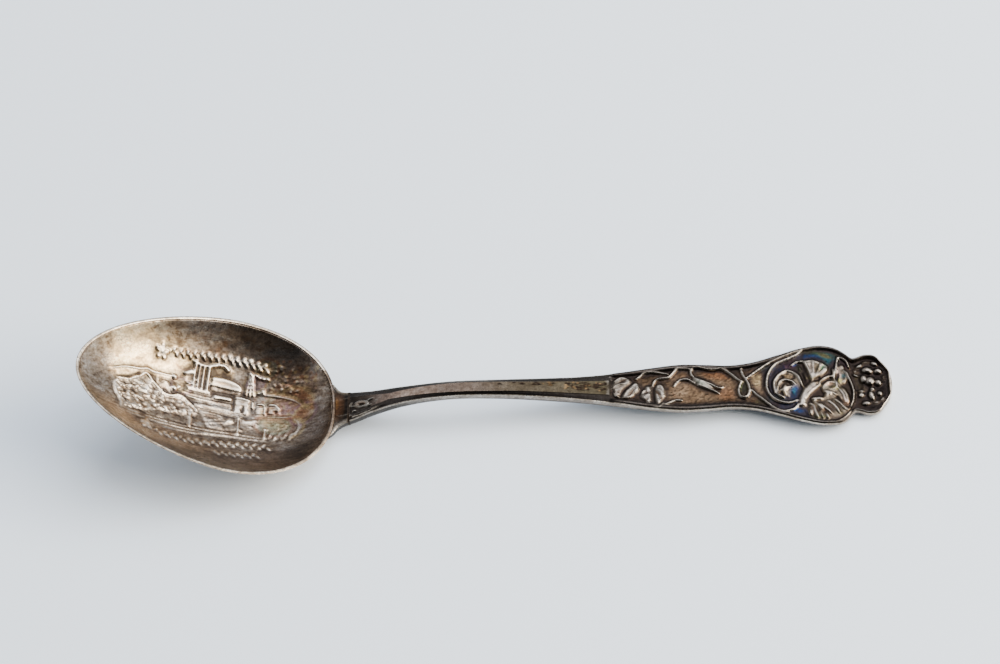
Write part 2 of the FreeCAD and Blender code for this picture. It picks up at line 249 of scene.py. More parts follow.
# ---------------------------------------------------------------- relief tools
class Relief:
    """A height field over scattered points: raised wires, domes and plates, grooves, and the metal's tone."""

    def __init__(self, x, y, tone, seed):
        self.shape = x.shape
        self.x = x.ravel()
        self.y = y.ravel()
        self.h = np.zeros(self.x.size)
        self.tone = np.tile(np.array(tone, float), (self.x.size, 1))
        self.rng = np.random.default_rng(seed)
        self.coat = None

    def near(self, points, reach):
        """Numbers of the points inside the box about a path, widened by reach."""
        low = points.min(0) - reach
        high = points.max(0) + reach
        inside = (self.x > low[0]) & (self.x < high[0]) & (self.y > low[1]) & (self.y < high[1])
        return np.nonzero(inside)[0]

    def along(self, points, ids):
        """Distance from each point to a path, and how far along the path its foot lies (0 to 1)."""
        best = np.full(ids.size, 1e9)
        where = np.zeros(ids.size)
        steps = np.linalg.norm(np.diff(points, axis=0), axis=1)
        reached = np.concatenate([[0], np.cumsum(steps)])
        px, py = self.x[ids], self.y[ids]
        for k in range(len(points) - 1):
            ax, ay = points[k]
            dx, dy = points[k + 1] - points[k]
            t = np.clip(((px - ax) * dx + (py - ay) * dy) / max(dx * dx + dy * dy, 1e-9), 0, 1)
            d = np.hypot(px - ax - t * dx, py - ay - t * dy)
            closer = d < best
            best[closer] = d[closer]
            where[closer] = reached[k] + t[closer] * steps[k]
        return best, where / max(reached[-1], 1e-9)

    def path(self, points, smooth=True):
        """The points of a path, with more between them on a smooth curve."""
        points = np.array(points, float)
        if len(points) < 3 or not smooth:
            return points
        number = np.arange(len(points))
        fine = np.linspace(0, len(points) - 1, 5 * (len(points) - 1) + 1)
        return np.stack(
            [curve_through(fine, number, points[:, 0]), curve_through(fine, number, points[:, 1])], -1,
        )

    def mix_tone(self, ids, colour, share):
        """Moves the tone of points towards a colour; share is one number, or one for each point."""
        share = np.reshape(share, (-1, 1))
        self.tone[ids] = self.tone[ids] * (1 - share) + np.array(colour) * share

    def raise_to(self, ids, level):
        """Lifts points up to a level, and gives those the coat of worn metal when there is one."""
        if self.coat is not None:
            self.mix_tone(ids[level > self.h[ids]], *self.coat)
        self.h[ids] = np.maximum(self.h[ids], level)

    def wire(self, points, width, height, ends=(0.6, 0.6), base=0.0, power=0.5):
        """Raised round wire along a path; ends are its width there as a share of the full width."""
        points = self.path(points)
        ids = self.near(points, width)
        d, part = self.along(points, ids)
        share = np.interp(part, [0, 0.3, 0.7, 1], [ends[0], 1, 1, ends[1]])
        half = width / 2 * share
        rise = height * (0.5 + 0.5 * share) * np.clip(1 - (d / half) ** 2, 0, 1) ** power
        inside = d < half
        self.raise_to(ids[inside], base + rise[inside])

    def groove(self, points, width, depth):
        """Rounded channel along a path."""
        points = self.path(points)
        ids = self.near(points, width)
        d, _ = self.along(points, ids)
        self.h[ids] -= depth * np.clip(1 - (2 * d / width) ** 2, 0, 1)

    def oval(self, centre, length, width, angle):
        """Points in a turned oval, and how far out each lies (0 centre, 1 edge)."""
        ids = self.near(np.array([centre]), max(length, width))
        dx = self.x[ids] - centre[0]
        dy = self.y[ids] - centre[1]
        c, s = math.cos(math.radians(angle)), math.sin(math.radians(angle))
        r = np.hypot(2 * (dx * c + dy * s) / length, 2 * (dy * c - dx * s) / width)
        inside = r < 1
        return ids[inside], r[inside]

    def dome(self, centre, length, width, angle, height, base=0.0, power=0.5):
        """Rounded oval boss."""
        ids, r = self.oval(centre, length, width, angle)
        self.raise_to(ids, base + height * (1 - r * r) ** power)

    def petal(self, centre, length, width, angle, height, base=0.0):
        """Cupped petal: a raised round edge about a lower middle."""
        ids, r = self.oval(centre, length, width, angle)
        self.raise_to(ids, base + height * (0.45 + 0.55 * r ** 2) * np.clip((1 - r) / 0.3, 0, 1) ** 0.5)

    def hollow(self, centre, length, width, angle, depth):
        """Rounded oval dent."""
        ids, r = self.oval(centre, length, width, angle)
        self.h[ids] -= depth * (1 - r * r)

    def within(self, corners, ids):
        """Which of the points lie inside a closed outline."""
        px, py = self.x[ids], self.y[ids]
        inside = np.zeros(ids.size, bool)
        for (ax, ay), (bx, by) in zip(corners[:-1], corners[1:]):
            if ay != by:
                crosses = ((ay > py) != (by > py)) & (px < (bx - ax) * (py - ay) / (by - ay) + ax)
                inside ^= crosses
        return inside

    def plate(self, corners, height, bevel=0.15, base=0.0, smooth=False, lean=0.0):
        """Raised patch with a drawn outline and sloping edges; lean tips it up towards +y."""
        corners = self.path(list(corners) + [corners[0]], smooth)
        ids = self.near(corners, bevel)
        ids = ids[self.within(corners, ids)]
        d, _ = self.along(corners, ids)
        middle = corners[:, 1].mean()
        self.raise_to(ids, base + (height + lean * (self.y[ids] - middle)) * np.clip(d / bevel, 0, 1))

    def box(self, t0, t1, y0, y1, height, bevel, lean=0.0):
        """Raised rectangle between two distances from the tip and two distances across."""
        self.plate([(t0, y0), (t1, y0), (t1, y1), (t0, y1)], height, bevel, lean=lean)

    def rubble(self, corners, count, sizes, heights, base):
        """Lumps of rock scattered inside an outline."""
        corners = np.array(list(corners) + [corners[0]], float)
        low, high = corners.min(0), corners.max(0)
        for _ in range(count):
            x, y = self.rng.uniform(low, high)
            size = self.rng.uniform(*sizes)
            tall = self.rng.uniform(*heights)
            angle = self.rng.uniform(0, 180)
            squash = self.rng.uniform(0.5, 0.95)
            ids, r = self.oval((x, y), size, size * squash, angle)
            keep = self.within(corners, ids)
            ids, r = ids[keep], r[keep]
            self.h[ids] = np.maximum(self.h[ids], base + tall * (1 - r * r) ** 0.6)

    def grain(self, amount, where):
        """Fine random unevenness."""
        self.h += amount * self.rng.normal(0, 1, self.h.size) * where

    def paint(self, centre, length, width, angle, colour, strength):
        """Soft-edged patch of another tone."""
        ids, r = self.oval(centre, length, width, angle)
        self.mix_tone(ids, colour, strength * np.clip((1 - r) / 0.55, 0, 1))

    def paint_all(self, patches):
        """Patches of tone, each given as place, (length, width), angle, colour and strength."""
        for place, (length, width), angle, colour, strength in patches:
            self.paint(place, length, width, angle, colour, strength)

    def ring(self, centre, length, width, angle, colour, strength, place, spread_out):
        """Soft band of another tone just inside an oval's edge."""
        ids, r = self.oval(centre, length, width, angle)
        self.mix_tone(ids, colour, strength * np.exp(-((r - place) / spread_out) ** 2))

    def stripe(self, points, width, colour, strength):
        """Soft band of another tone along a path."""
        points = self.path(points)
        ids = self.near(points, width)
        d, _ = self.along(points, ids)
        self.mix_tone(ids, colour, strength * np.clip(1.6 - 3.2 * d / width, 0, 1))

    def grid(self):
        """The heights as a grid again."""
        return self.h.reshape(self.shape)


# ---------------------------------------------------------------- tones of the metal, in linear colour
SILVER = (0.57, 0.505, 0.415)
CREAM = (0.90, 0.70, 0.42)
GREY = (0.36, 0.31, 0.26)
DUSK = (0.17, 0.135, 0.11)
SHADE = (0.165, 0.145, 0.132)
LOW_HAZE = (0.20, 0.17, 0.152)
NECK_HAZE = (0.215, 0.18, 0.16)
HAZE = (0.215, 0.18, 0.158)
PALE_HAZE = (0.25, 0.225, 0.20)
EMBER = (0.30, 0.14, 0.070)
STRAW = (0.50, 0.38, 0.19)
SAGE = (0.26, 0.32, 0.22)
PLUM = (0.27, 0.15, 0.20)
SOOT = (0.048, 0.040, 0.034)
BLACK = (0.022, 0.018, 0.016)
INK = (0.0028, 0.0021, 0.0020)
GOLD = (0.110, 0.070, 0.040)
BRASS = (0.110, 0.088, 0.050)
RUST = (0.125, 0.054, 0.024)
BROWN = (0.105, 0.062, 0.034)
UMBER = (0.050, 0.026, 0.014)
OLIVE = (0.042, 0.035, 0.014)
GREEN = (0.022, 0.046, 0.018)
TEAL = (0.007, 0.040, 0.048)
BLUE = (0.004, 0.017, 0.056)
PURPLE = (0.022, 0.008, 0.021)
PINK = (0.165, 0.122, 0.097)


# What worn metal looks like on the handle's relief: colour, and how strongly it covers the ground's tone
WORN_WIRE = ((0.190, 0.163, 0.132), 0.85)
WORN_LEAF = ((0.120, 0.100, 0.080), 0.80)
WORN_FLOWER = ((0.200, 0.158, 0.112), 0.60)
DARK_BERRIES = ((0.030, 0.022, 0.016), 0.80)


# ---------------------------------------------------------------- bowl piece
def garland(r, line, first, last, tall, lift):
    """Laurel band: a thin stem, leaves above and below it in turn, and a bead at every third leaf."""
    line = np.array(line, float)
    line[:, 1] += 0.5 * tall
    r.wire(line, 0.20, 0.6 * lift, ends=(0.6, 0.6))
    step = 0.56 * tall
    for k in range(int((last - first) / step) + 1):
        t = first + k * step
        y = float(np.interp(t, line[:, 0], line[:, 1]))
        side = 1 if k % 2 == 0 else -1
        r.petal((t + 0.14 * tall, y + side * 0.31 * tall), 0.74 * tall, 0.36 * tall, side * 46, lift)
        if k % 3 == 1:
            r.dome((t - 0.05 * tall, y + side * 0.46 * tall), 0.26, 0.26, 0, 0.8 * lift)


def blossom(r, centre, across, lift):
    """Five-petalled blossom that opens a band."""
    for k in range(5):
        way = math.radians(72 * k + 18)
        spot = (centre[0] + 0.29 * across * math.cos(way), centre[1] + 0.29 * across * math.sin(way))
        r.petal(spot, 0.46 * across, 0.34 * across, 72 * k + 18, lift)
    r.dome(centre, 0.24 * across, 0.24 * across, 0, 1.1 * lift)


def smoke(r, points, size):
    """Row of small puffs."""
    for x, y in r.path(points)[::2]:
        wobble = r.rng.uniform(-0.12, 0.12)
        r.dome((x, y + wobble), size * 1.5, size * r.rng.uniform(0.7, 1.1), 15, 0.36, 0.03)


def works(r):
    """The buildings: sheds, stacks, terraces and the lattice frame."""
    r.box(20.2, 22.0, 4.5, 6.4, 0.22, 0.14)
    r.plate([(20.0, 6.1), (21.7, 7.2), (22.0, 6.7), (22.0, 6.2), (20.4, 5.7)], 0.42, 0.12)
    for t in (20.5, 21.0, 21.5):
        r.groove([(t, 4.6), (t, 5.8)], 0.22, 0.16)
    for t, size in ((22.15, 0.44), (22.95, 0.44), (23.75, 0.46), (24.72, 0.56)):
        r.wire([(t, 4.2), (t, 7.9)], size, 0.46, ends=(1, 1), base=0.05, power=0.6)
        r.dome((t, 7.95), size + 0.1, 0.34, 0, 0.5, 0.05)
    r.box(22.0, 23.2, 5.1, 5.6, 0.34, 0.12)
    r.box(20.9, 23.1, 4.2, 4.65, 0.40, 0.12)
    r.box(20.9, 25.6, 3.1, 4.0, 0.26, 0.14, lean=0.14)
    r.wire([(21.0, 3.95), (25.4, 3.80)], 0.26, 0.24, (1, 1), 0.16)
    r.box(20.0, 26.1, 2.35, 3.0, 0.20, 0.12)
    for t in np.arange(21.6, 25.8, 0.8):
        r.groove([(t, 2.4), (t, 2.9)], 0.2, 0.1)
    r.wire([(21.3, 2.1), (26.1, 2.15)], 0.34, 0.30, (1, 1), 0.06)
    r.dome((22.5, 2.05), 1.0, 0.4, 10, 0.42)
    # long shed under a curved roof
    r.box(25.2, 31.0, 4.1, 5.2, 0.20, 0.14)
    roof = [
        (25.2, 5.0), (25.4, 6.5), (26.6, 6.75), (28.2, 6.75), (29.8, 6.45), (30.8, 5.9), (31.2, 5.2),
        (30.6, 4.7),
    ]
    r.plate(roof, 0.38, 0.16, smooth=True, lean=0.06)
    r.groove([(25.6, 5.75), (28.0, 5.8), (30.6, 5.35)], 0.22, 0.10)
    r.wire([(25.2, 5.15), (28.2, 5.1), (30.9, 4.9)], 0.28, 0.44, (1, 1), 0.05)
    for t in np.arange(26.7, 29.0, 0.46):
        r.hollow((t, 4.45), 0.3, 0.5, 0, 0.2)
    # sheds below it
    r.box(26.1, 29.6, 2.75, 3.6, 0.30, 0.12, lean=0.1)
    r.wire([(26.2, 2.85), (29.4, 2.95)], 0.26, 0.28, (1, 1), 0.16)
    r.box(25.9, 29.7, 1.2, 2.4, 0.26, 0.12)
    for t in np.arange(26.3, 29.2, 0.46):
        r.hollow((t, 1.75), 0.28, 0.85, 0, 0.26)
    for t0, t1, y, rise in (
        (22.9, 26.2, 1.75, 0.18), (22.9, 29.7, 1.1, 0.30), (23.0, 32.5, 0.72, 0.34), (23.4, 31.6, 0.22, 0.28),
        (24.0, 28.0, -0.28, 0.30), (24.4, 27.6, -0.75, 0.26),
    ):
        r.wire([(t0, y), ((t0 + t1) / 2, y + 0.08), (t1, y - 0.05)], 0.36, rise, (0.7, 0.7), 0.04)
    # tall block with a door, and the narrow one beside it
    r.box(30.0, 32.8, 0.85, 3.5, 0.28, 0.14)
    r.plate([(29.8, 3.4), (30.1, 3.95), (31.4, 3.95), (32.9, 3.6), (33.0, 3.2), (31.4, 3.35)], 0.46, 0.12)
    r.wire([(30.3, 2.55), (32.5, 2.55)], 0.22, 0.14, (1, 1), 0.26)
    r.hollow((31.55, 1.5), 0.7, 1.5, 0, 0.36)
    for t in (30.55, 32.5):
        r.hollow((t, 1.9), 0.26, 0.7, 0, 0.16)
    r.box(33.05, 33.55, 1.9, 3.4, 0.34, 0.1)
    # lattice frame with its platform
    for t in (31.95, 32.55, 33.15):
        r.wire([(t + 0.15 * (t - 32.5), 4.4), (t * 0.4 + 32.5 * 0.6, 8.0)], 0.3, 0.36, (1, 0.9), 0.02)
    for y in (4.9, 5.6, 6.3, 7.0):
        r.wire([(31.9 + 0.05 * y, y), (33.35 - 0.05 * y, y + 0.15)], 0.22, 0.28, (1, 1), 0.02)
    r.box(33.7, 35.2, 4.75, 5.2, 0.24, 0.1)
    r.box(34.5, 35.2, 4.9, 5.7, 0.4, 0.12)
    # two houses
    r.box(33.9, 35.6, 0.8, 2.5, 0.22, 0.12)
    r.plate(
        [(33.6, 2.3), (34.1, 3.05), (35.3, 3.05), (35.8, 2.3), (35.5, 2.1), (35.2, 2.75), (34.2, 2.7)],
        0.42, 0.1,
    )
    for t in (34.25, 34.75, 35.2):
        r.groove([(t, 0.95), (t, 2.0)], 0.24, 0.2)
    r.wire([(35.5, 2.4), (35.55, 0.9)], 0.3, 0.4, (1, 1))
    r.box(35.9, 38.1, 0.9, 2.5, 0.20, 0.14)
    r.plate(
        [(35.8, 2.5), (36.2, 3.15), (37.4, 3.0), (38.2, 1.9), (37.9, 1.8), (37.2, 2.55), (36.2, 2.5)], 0.38,
        0.12,
    )
    r.hollow((37.4, 1.35), 0.9, 0.6, 0, 0.3)
    smoke(
        r, [(21.9, 8.25), (23.0, 8.2), (24.5, 8.2), (25.5, 8.35), (26.4, 8.75), (27.3, 8.7), (28.2, 8.25)],
        0.62,
    )
    for centre in ((32.3, 8.15), (33.3, 7.95), (33.9, 7.65), (34.65, 7.5), (35.35, 7.45)):
        r.dome(centre, 0.66, 0.5, -15, 0.42)


def foreground(r):
    """Ground in front of the works: banks, poles, shrubs and rails."""
    bank = [(24.5, -1.2), (28.0, -0.2), (31.0, -0.3), (34.6, -0.2), (34.2, -2.2), (30.0, -3.4), (25.5, -3.2)]
    r.plate(bank, 0.05, 0.6)
    r.rubble(bank, 60, (0.6, 1.7), (0.05, 0.20), 0.03)
    for a, b in (((25.0, -1.95), (27.6, -1.0)), ((25.0, -2.6), (28.4, -1.6)), ((28.4, -1.9), (30.1, -0.7))):
        r.wire([a, b], 0.42, 0.30, (0.5, 0.5))
    r.dome((29.4, -1.2), 1.7, 1.0, 15, 0.34)
    r.dome((32.8, -0.9), 3.0, 1.1, 10, 0.26, power=0.8)
    for low, high, t in ((-4.1, -0.9, 22.1), (-4.0, 0.0, 30.95), (-4.4, -2.0, 35.65)):
        r.wire([(t - 0.08, low), (t + 0.06, high)], 0.34, 0.44, (1, 0.7))
        r.wire([(t - 0.4, high - 0.25), (t + 0.45, high - 0.2)], 0.24, 0.34)
    for k in range(11):
        t = 36.3 + 0.42 * k
        y = -4.2 + 0.5 * math.sin(2.1 * k)
        r.wire(
            [(t, y), (t + 0.18 * math.cos(3 * k), y + 0.9 + 0.3 * math.sin(1.7 * k))], 0.28, 0.26, (1, 0.4),
        )
    rails = (
        [(9.0, -4.7), (12.0, -4.6), (16.0, -4.55), (21.5, -4.3), (26.0, -3.95), (31.0, -3.75), (36.0, -4.2)],
        [(10.5, -5.4), (16.0, -5.2), (21.0, -4.95), (26.0, -4.7), (31.0, -4.5), (36.0, -4.8)],
        [(17.0, -5.9), (22.0, -5.6), (25.2, -5.05), (28.0, -4.9)],
    )
    for line in rails:
        r.wire(line, 0.34, 0.24, (0.4, 0.4))
    for t in np.arange(12.5, 35.5, 0.95):
        top_line = float(np.interp(t, [p[0] for p in rails[0]], [p[1] for p in rails[0]]))
        r.wire([(t, top_line + 0.1), (t - 0.25, top_line - 0.75)], 0.26, 0.13, (1, 1))


def bowl_relief(r):
    """Picture struck into the bowl: a hill on the left, a works among terraces, and bands of ornament."""
    ridge = [
        (7.0, 2.6), (8.5, 3.4), (10.0, 3.9), (12.0, 4.3), (13.3, 4.75), (14.5, 4.6), (16.0, 4.75),
        (18.0, 4.95),
    ]
    lower = [(18.2, 4.3), (17.5, 4.1), (15.0, 3.9), (13.2, 4.0), (12.0, 3.4), (10.0, 2.2), (8.2, 1.6)]
    r.plate(ridge + lower, 0.14, 0.3)
    r.wire(ridge, 0.42, 0.34, (0.5, 0.7))
    mound = [
        (7.6, 0.3), (8.2, 1.3), (10.3, 1.8), (11.2, 2.6), (12.2, 3.0), (13.0, 3.9), (13.8, 3.6),
        (14.5, 2.9), (15.5, 2.2), (16.5, 1.6), (17.2, 1.2), (18.5, 1.3), (19.5, 1.8), (20.5, 1.7),
        (21.5, 1.0), (22.5, 0.4), (23.4, -0.3), (23.5, -1.2), (22.0, -1.9), (19.0, -2.1), (16.0, -2.3),
        (14.5, -3.3), (12.0, -3.7), (9.0, -4.5), (8.6, -3.0), (8.0, -1.8), (7.6, -0.8),
    ]
    r.plate(mound, 0.12, 0.5)
    r.rubble(mound, 300, (0.5, 1.3), (0.02, 0.20), 0.10)
    r.rubble(mound, 560, (0.30, 0.70), (0.10, 0.44), 0.11)
    r.wire(mound[1:17], 0.50, 0.50, (0.5, 0.6))
    r.wire([(8.0, 0.9), (7.7, -0.6), (8.1, -1.8), (8.8, -3.0), (9.0, -4.5)], 0.4, 0.36)
    r.groove([(10.0, 0.0), (9.6, -1.0), (9.5, -2.2), (9.9, -3.0)], 0.4, 0.22)
    r.rubble([(15.2, 2.2), (18.3, 1.6), (18.3, 3.8), (15.4, 3.9)], 26, (0.6, 1.2), (0.08, 0.24), 0.02)
    r.plate([(15.4, 2.3), (16.4, 3.5), (18.0, 3.6), (17.6, 2.2)], 0.2, 0.2)
    r.dome((18.6, 4.9), 1.1, 1.0, 0, 0.42)
    r.dome((18.8, 2.9), 1.25, 1.2, 0, 0.44)
    r.dome((19.7, 3.4), 0.8, 0.8, 0, 0.32)
    slope = [(12.0, -3.4), (15.0, -2.6), (25.0, -2.0), (25.0, -3.7), (19.0, -3.9), (14.0, -4.4)]
    r.plate(slope, 0.10, 0.4)
    r.rubble(
        [(12.0, -2.6), (20.0, -2.0), (24.5, -1.2), (24.5, -3.6), (13.0, -4.3)], 46, (0.6, 1.4),
        (0.04, 0.16), 0.06,
    )
    works(r)
    foreground(r)
    hills = (
        [(33.0, 4.5), (35.5, 4.65), (38.0, 4.3), (40.0, 3.6), (41.2, 2.7), (41.6, 1.9)],
        [(40.0, 0.0), (41.0, -0.8), (41.2, -2.0), (40.8, -3.0), (40.0, -3.7)],
        [(34.2, 0.6), (36.0, 0.42), (38.5, 0.35), (41.0, 0.3)],
    )
    for line in hills:
        r.wire(line, 0.40, 0.15, (0.4, 0.4))
    far_slope = [
        (35.8, 5.2), (38.0, 5.0), (41.0, 4.2), (42.0, 5.6), (40.4, 8.6), (37.8, 10.2), (36.0, 9.2),
        (36.4, 7.0),
    ]
    r.rubble(far_slope, 100, (0.25, 0.75), (0.06, 0.17), 0.0)
    r.rubble([(36.0, -1.2), (39.5, -0.8), (40.5, -3.4), (37.0, -3.8)], 40, (0.3, 0.8), (0.04, 0.15), 0.0)
    upper = [
        (16.5, 8.25), (19.0, 8.35), (22.0, 8.75), (25.0, 9.1), (28.0, 9.25), (31.0, 9.2), (33.5, 8.8),
        (35.8, 8.2),
    ]
    garland(r, upper, 17.6, 35.6, 1.15, 0.42)
    blossom(r, (15.6, 8.3), 2.7, 0.42)
    lower = [(15.0, -8.7), (21.0, -8.6), (25.0, -8.0), (27.0, -7.6), (30.0, -7.1), (34.0, -6.9), (37.0, -7.4)]
    garland(r, lower, 15.6, 36.6, 1.35, 0.40)
    blossom(r, (14.0, -6.8), 2.5, 0.40)
    garland(r, [(26.0, -10.3), (30.0, -9.9), (34.5, -9.5)], 26.4, 34.2, 1.25, 0.38)


def bowl_tone(r):
    """Where the bowl is bright, sooty or stained, with a painted highlight on the far wall and painted shade
    in the deep corners by the neck.
    """
    r.paint_all((
        # mostly a painted highlight: the cream patch on the far wall towards the tip stands for the window's
        # reflection, over tarnish that is a little lighter there
        ((12.5, 7.2), (24, 12), 10, CREAM, 0.95),
        ((11.0, -0.5), (14, 12), 0, SILVER, 0.6),
        ((25.0, 13.0), (34, 7.0), -6, DUSK, 0.45),
        ((36.5, 12.0), (22, 9.5), -42, HAZE, 0.7),
        # painted shade: dark crescent in the deep far corner by the neck
        ((40.5, 10.5), (12, 4.5), -52, (0.10, 0.085, 0.076), 0.4),
        ((23.0, -12.0), (38, 6.5), 8, SHADE, 0.85),
        ((4.3, 0.0), (7.0, 19), 0, PALE_HAZE, 0.75),
        ((43.0, -1.0), (6.5, 17), 8, NECK_HAZE, 0.8),
        ((37.0, -10.5), (18, 9), 30, LOW_HAZE, 0.8),
        # painted shade: dark crescent in the deep near corner by the neck
        ((40.5, -8.2), (9, 4.6), 40, (0.082, 0.072, 0.066), 0.65),
        ((40.0, 6.0), (10, 8), -35, (0.16, 0.085, 0.045), 0.7),
    ))
    for centre, size, turn, tones in (
        ((39.0, 2.2), 8.4, 35, (EMBER, STRAW, EMBER, PLUM)),
        ((37.2, -1.4), 6.4, -10, (STRAW, EMBER, SAGE, SAGE)),
        ((34.8, 9.0), 4.4, 0, (STRAW, EMBER, SAGE, STRAW)),
        ((20.4, 8.1), 4.0, 10, (STRAW, EMBER, STRAW, CREAM)),
        ((33.4, 6.6), 4.2, 30, (PLUM, STRAW, PLUM, GREY)),
        ((41.8, 0.6), 4.6, 60, (EMBER, PLUM, STRAW, EMBER)),
        ((26.4, 7.6), 5.4, 5, (STRAW, CREAM, STRAW, CREAM)),
        ((20.0, 3.6), 3.6, 0, (STRAW, PLUM, STRAW, CREAM)),
        ((9.0, 3.4), 5.0, 40, (STRAW, CREAM, STRAW, CREAM)),
    ):
        r.paint(centre, size, size * 0.75, turn, tones[0], 0.50)
        r.ring(centre, size * 1.25, size * 0.95, turn, tones[1], 0.50, 0.82, 0.10)
        r.ring(centre, size * 0.95, size * 0.68, turn, tones[2], 0.42, 0.80, 0.12)
        r.paint(centre, size * 0.5, size * 0.36, turn, tones[3], 0.40)
    for line, colour in (
        ([(33.0, 5.1), (35.5, 5.2), (38.0, 4.9), (40.2, 4.1), (41.6, 2.9), (42.0, 1.8)], STRAW),
        ([(39.5, 0.9), (41.4, -0.3), (42.0, -2.0), (41.2, -3.6), (40.0, -4.4)], STRAW),
        ([(38.0, 6.6), (40.6, 5.6), (42.6, 3.6), (43.2, 1.4)], EMBER),
        ([(34.0, 0.3), (37.0, 0.1), (41.0, 0.2)], EMBER),
    ):
        r.stripe(line, 0.8, colour, 0.5)
    blotches(r)


def blotches(r):
    """Cloudy spots of dark and of clean metal on the far wall, and small rusty ones towards the neck."""
    dark, clean, brown = (0.075, 0.056, 0.044), (0.42, 0.36, 0.29), (0.16, 0.095, 0.055)
    for _ in range(420):
        x, y = r.rng.uniform(13, 37), r.rng.uniform(8.0, 14.8)
        size = r.rng.uniform(0.35, 1.5)
        colour = (dark, clean, brown)[r.rng.integers(3)]
        turn = r.rng.uniform(-40, 40)
        out = math.hypot((x - 25) / 13, (y - 11.5) / 4)
        r.paint((x, y), size * 1.5, size, turn, colour, r.rng.uniform(0.2, 0.8) * max(1.2 - out, 0))
    sooty = (0.07, 0.045, 0.035)
    for _ in range(240):
        x, y = r.rng.uniform(33, 43.5), r.rng.uniform(1.5, 10.5)
        size = r.rng.uniform(0.25, 0.8)
        colour = (EMBER, STRAW, sooty)[r.rng.integers(3)]
        r.paint((x, y), size * 1.3, size, r.rng.uniform(0, 180), colour, r.rng.uniform(0.2, 0.65))


class Shell:
    """Points, faces and per-point values of one piece, gathered part by part."""

    def __init__(self):
        self.points = []
        self.values = {"high": [], "tone": []}
        self.faces = []
        self.count = 0

    def add(self, points, high=0.0, tone=GREY):
        """Adds points (any array shape ending in 3) and returns their numbers in the same shape."""
        shape = points.shape[:-1]
        size = int(np.prod(shape))
        self.points.append(points.reshape(-1, 3))
        self.values["high"].append(np.broadcast_to(high, shape).reshape(-1))
        self.values["tone"].append(np.broadcast_to(np.array(tone, float), shape + (3,)).reshape(-1, 3))
        index = self.count + np.arange(size).reshape(shape)
        self.count += size
        return index

    def pinched(self, points, **values):
        """Adds a grid whose first and last rows shrink to one point each."""
        index = self.add(points, **values)
        middle = points.shape[1] // 2
        index[0] = index[0, middle]
        index[-1] = index[-1, middle]
        return index

    def cap(self, ring, centre, flip):
        """Closes a ring of points with a fan of faces about its centre."""
        hub = int(self.add(centre[None])[0])
        for a, b in zip(ring, np.roll(ring, -1)):
            self.faces.append([hub, int(b), int(a)] if flip else [hub, int(a), int(b)])

    def piece(self, name):
        """Makes the mesh object from the points that faces use."""
        points = np.concatenate(self.points)
        used = np.unique(np.array([corner for face in self.faces for corner in face]))
        number = np.zeros(len(points), int)
        number[used] = np.arange(len(used))
        number = number.tolist()
        faces = [[number[corner] for corner in face] for face in self.faces]
        values = {key: np.concatenate(parts)[used] for key, parts in self.values.items()}
        tone = values["tone"]
        values["tone"] = np.concatenate([tone, np.ones((len(tone), 1))], 1)
        return new_piece(name, points[used], faces, values)


def bowl_inside(u, part):
    """Height of the inner surface; part is the distance across as a share of the half width."""
    fall = bowl_depth(u, BOWL_DEPTH - LIP, RIM_LAND) * np.clip(1 - part ** 2, 0, 1) ** 0.9
    return rim_height(u) - LIP - fall


def bowl_outside(u, part):
    """Height of the back, in the same terms."""
    fall = bowl_depth(u, BOWL_DEPTH + WALL) * np.clip(1 - part ** 2, 0, 1) ** 0.9
    return rim_height(u) - RIM_EDGE - fall * (1 - RIM_EDGE / (BOWL_DEPTH + WALL))


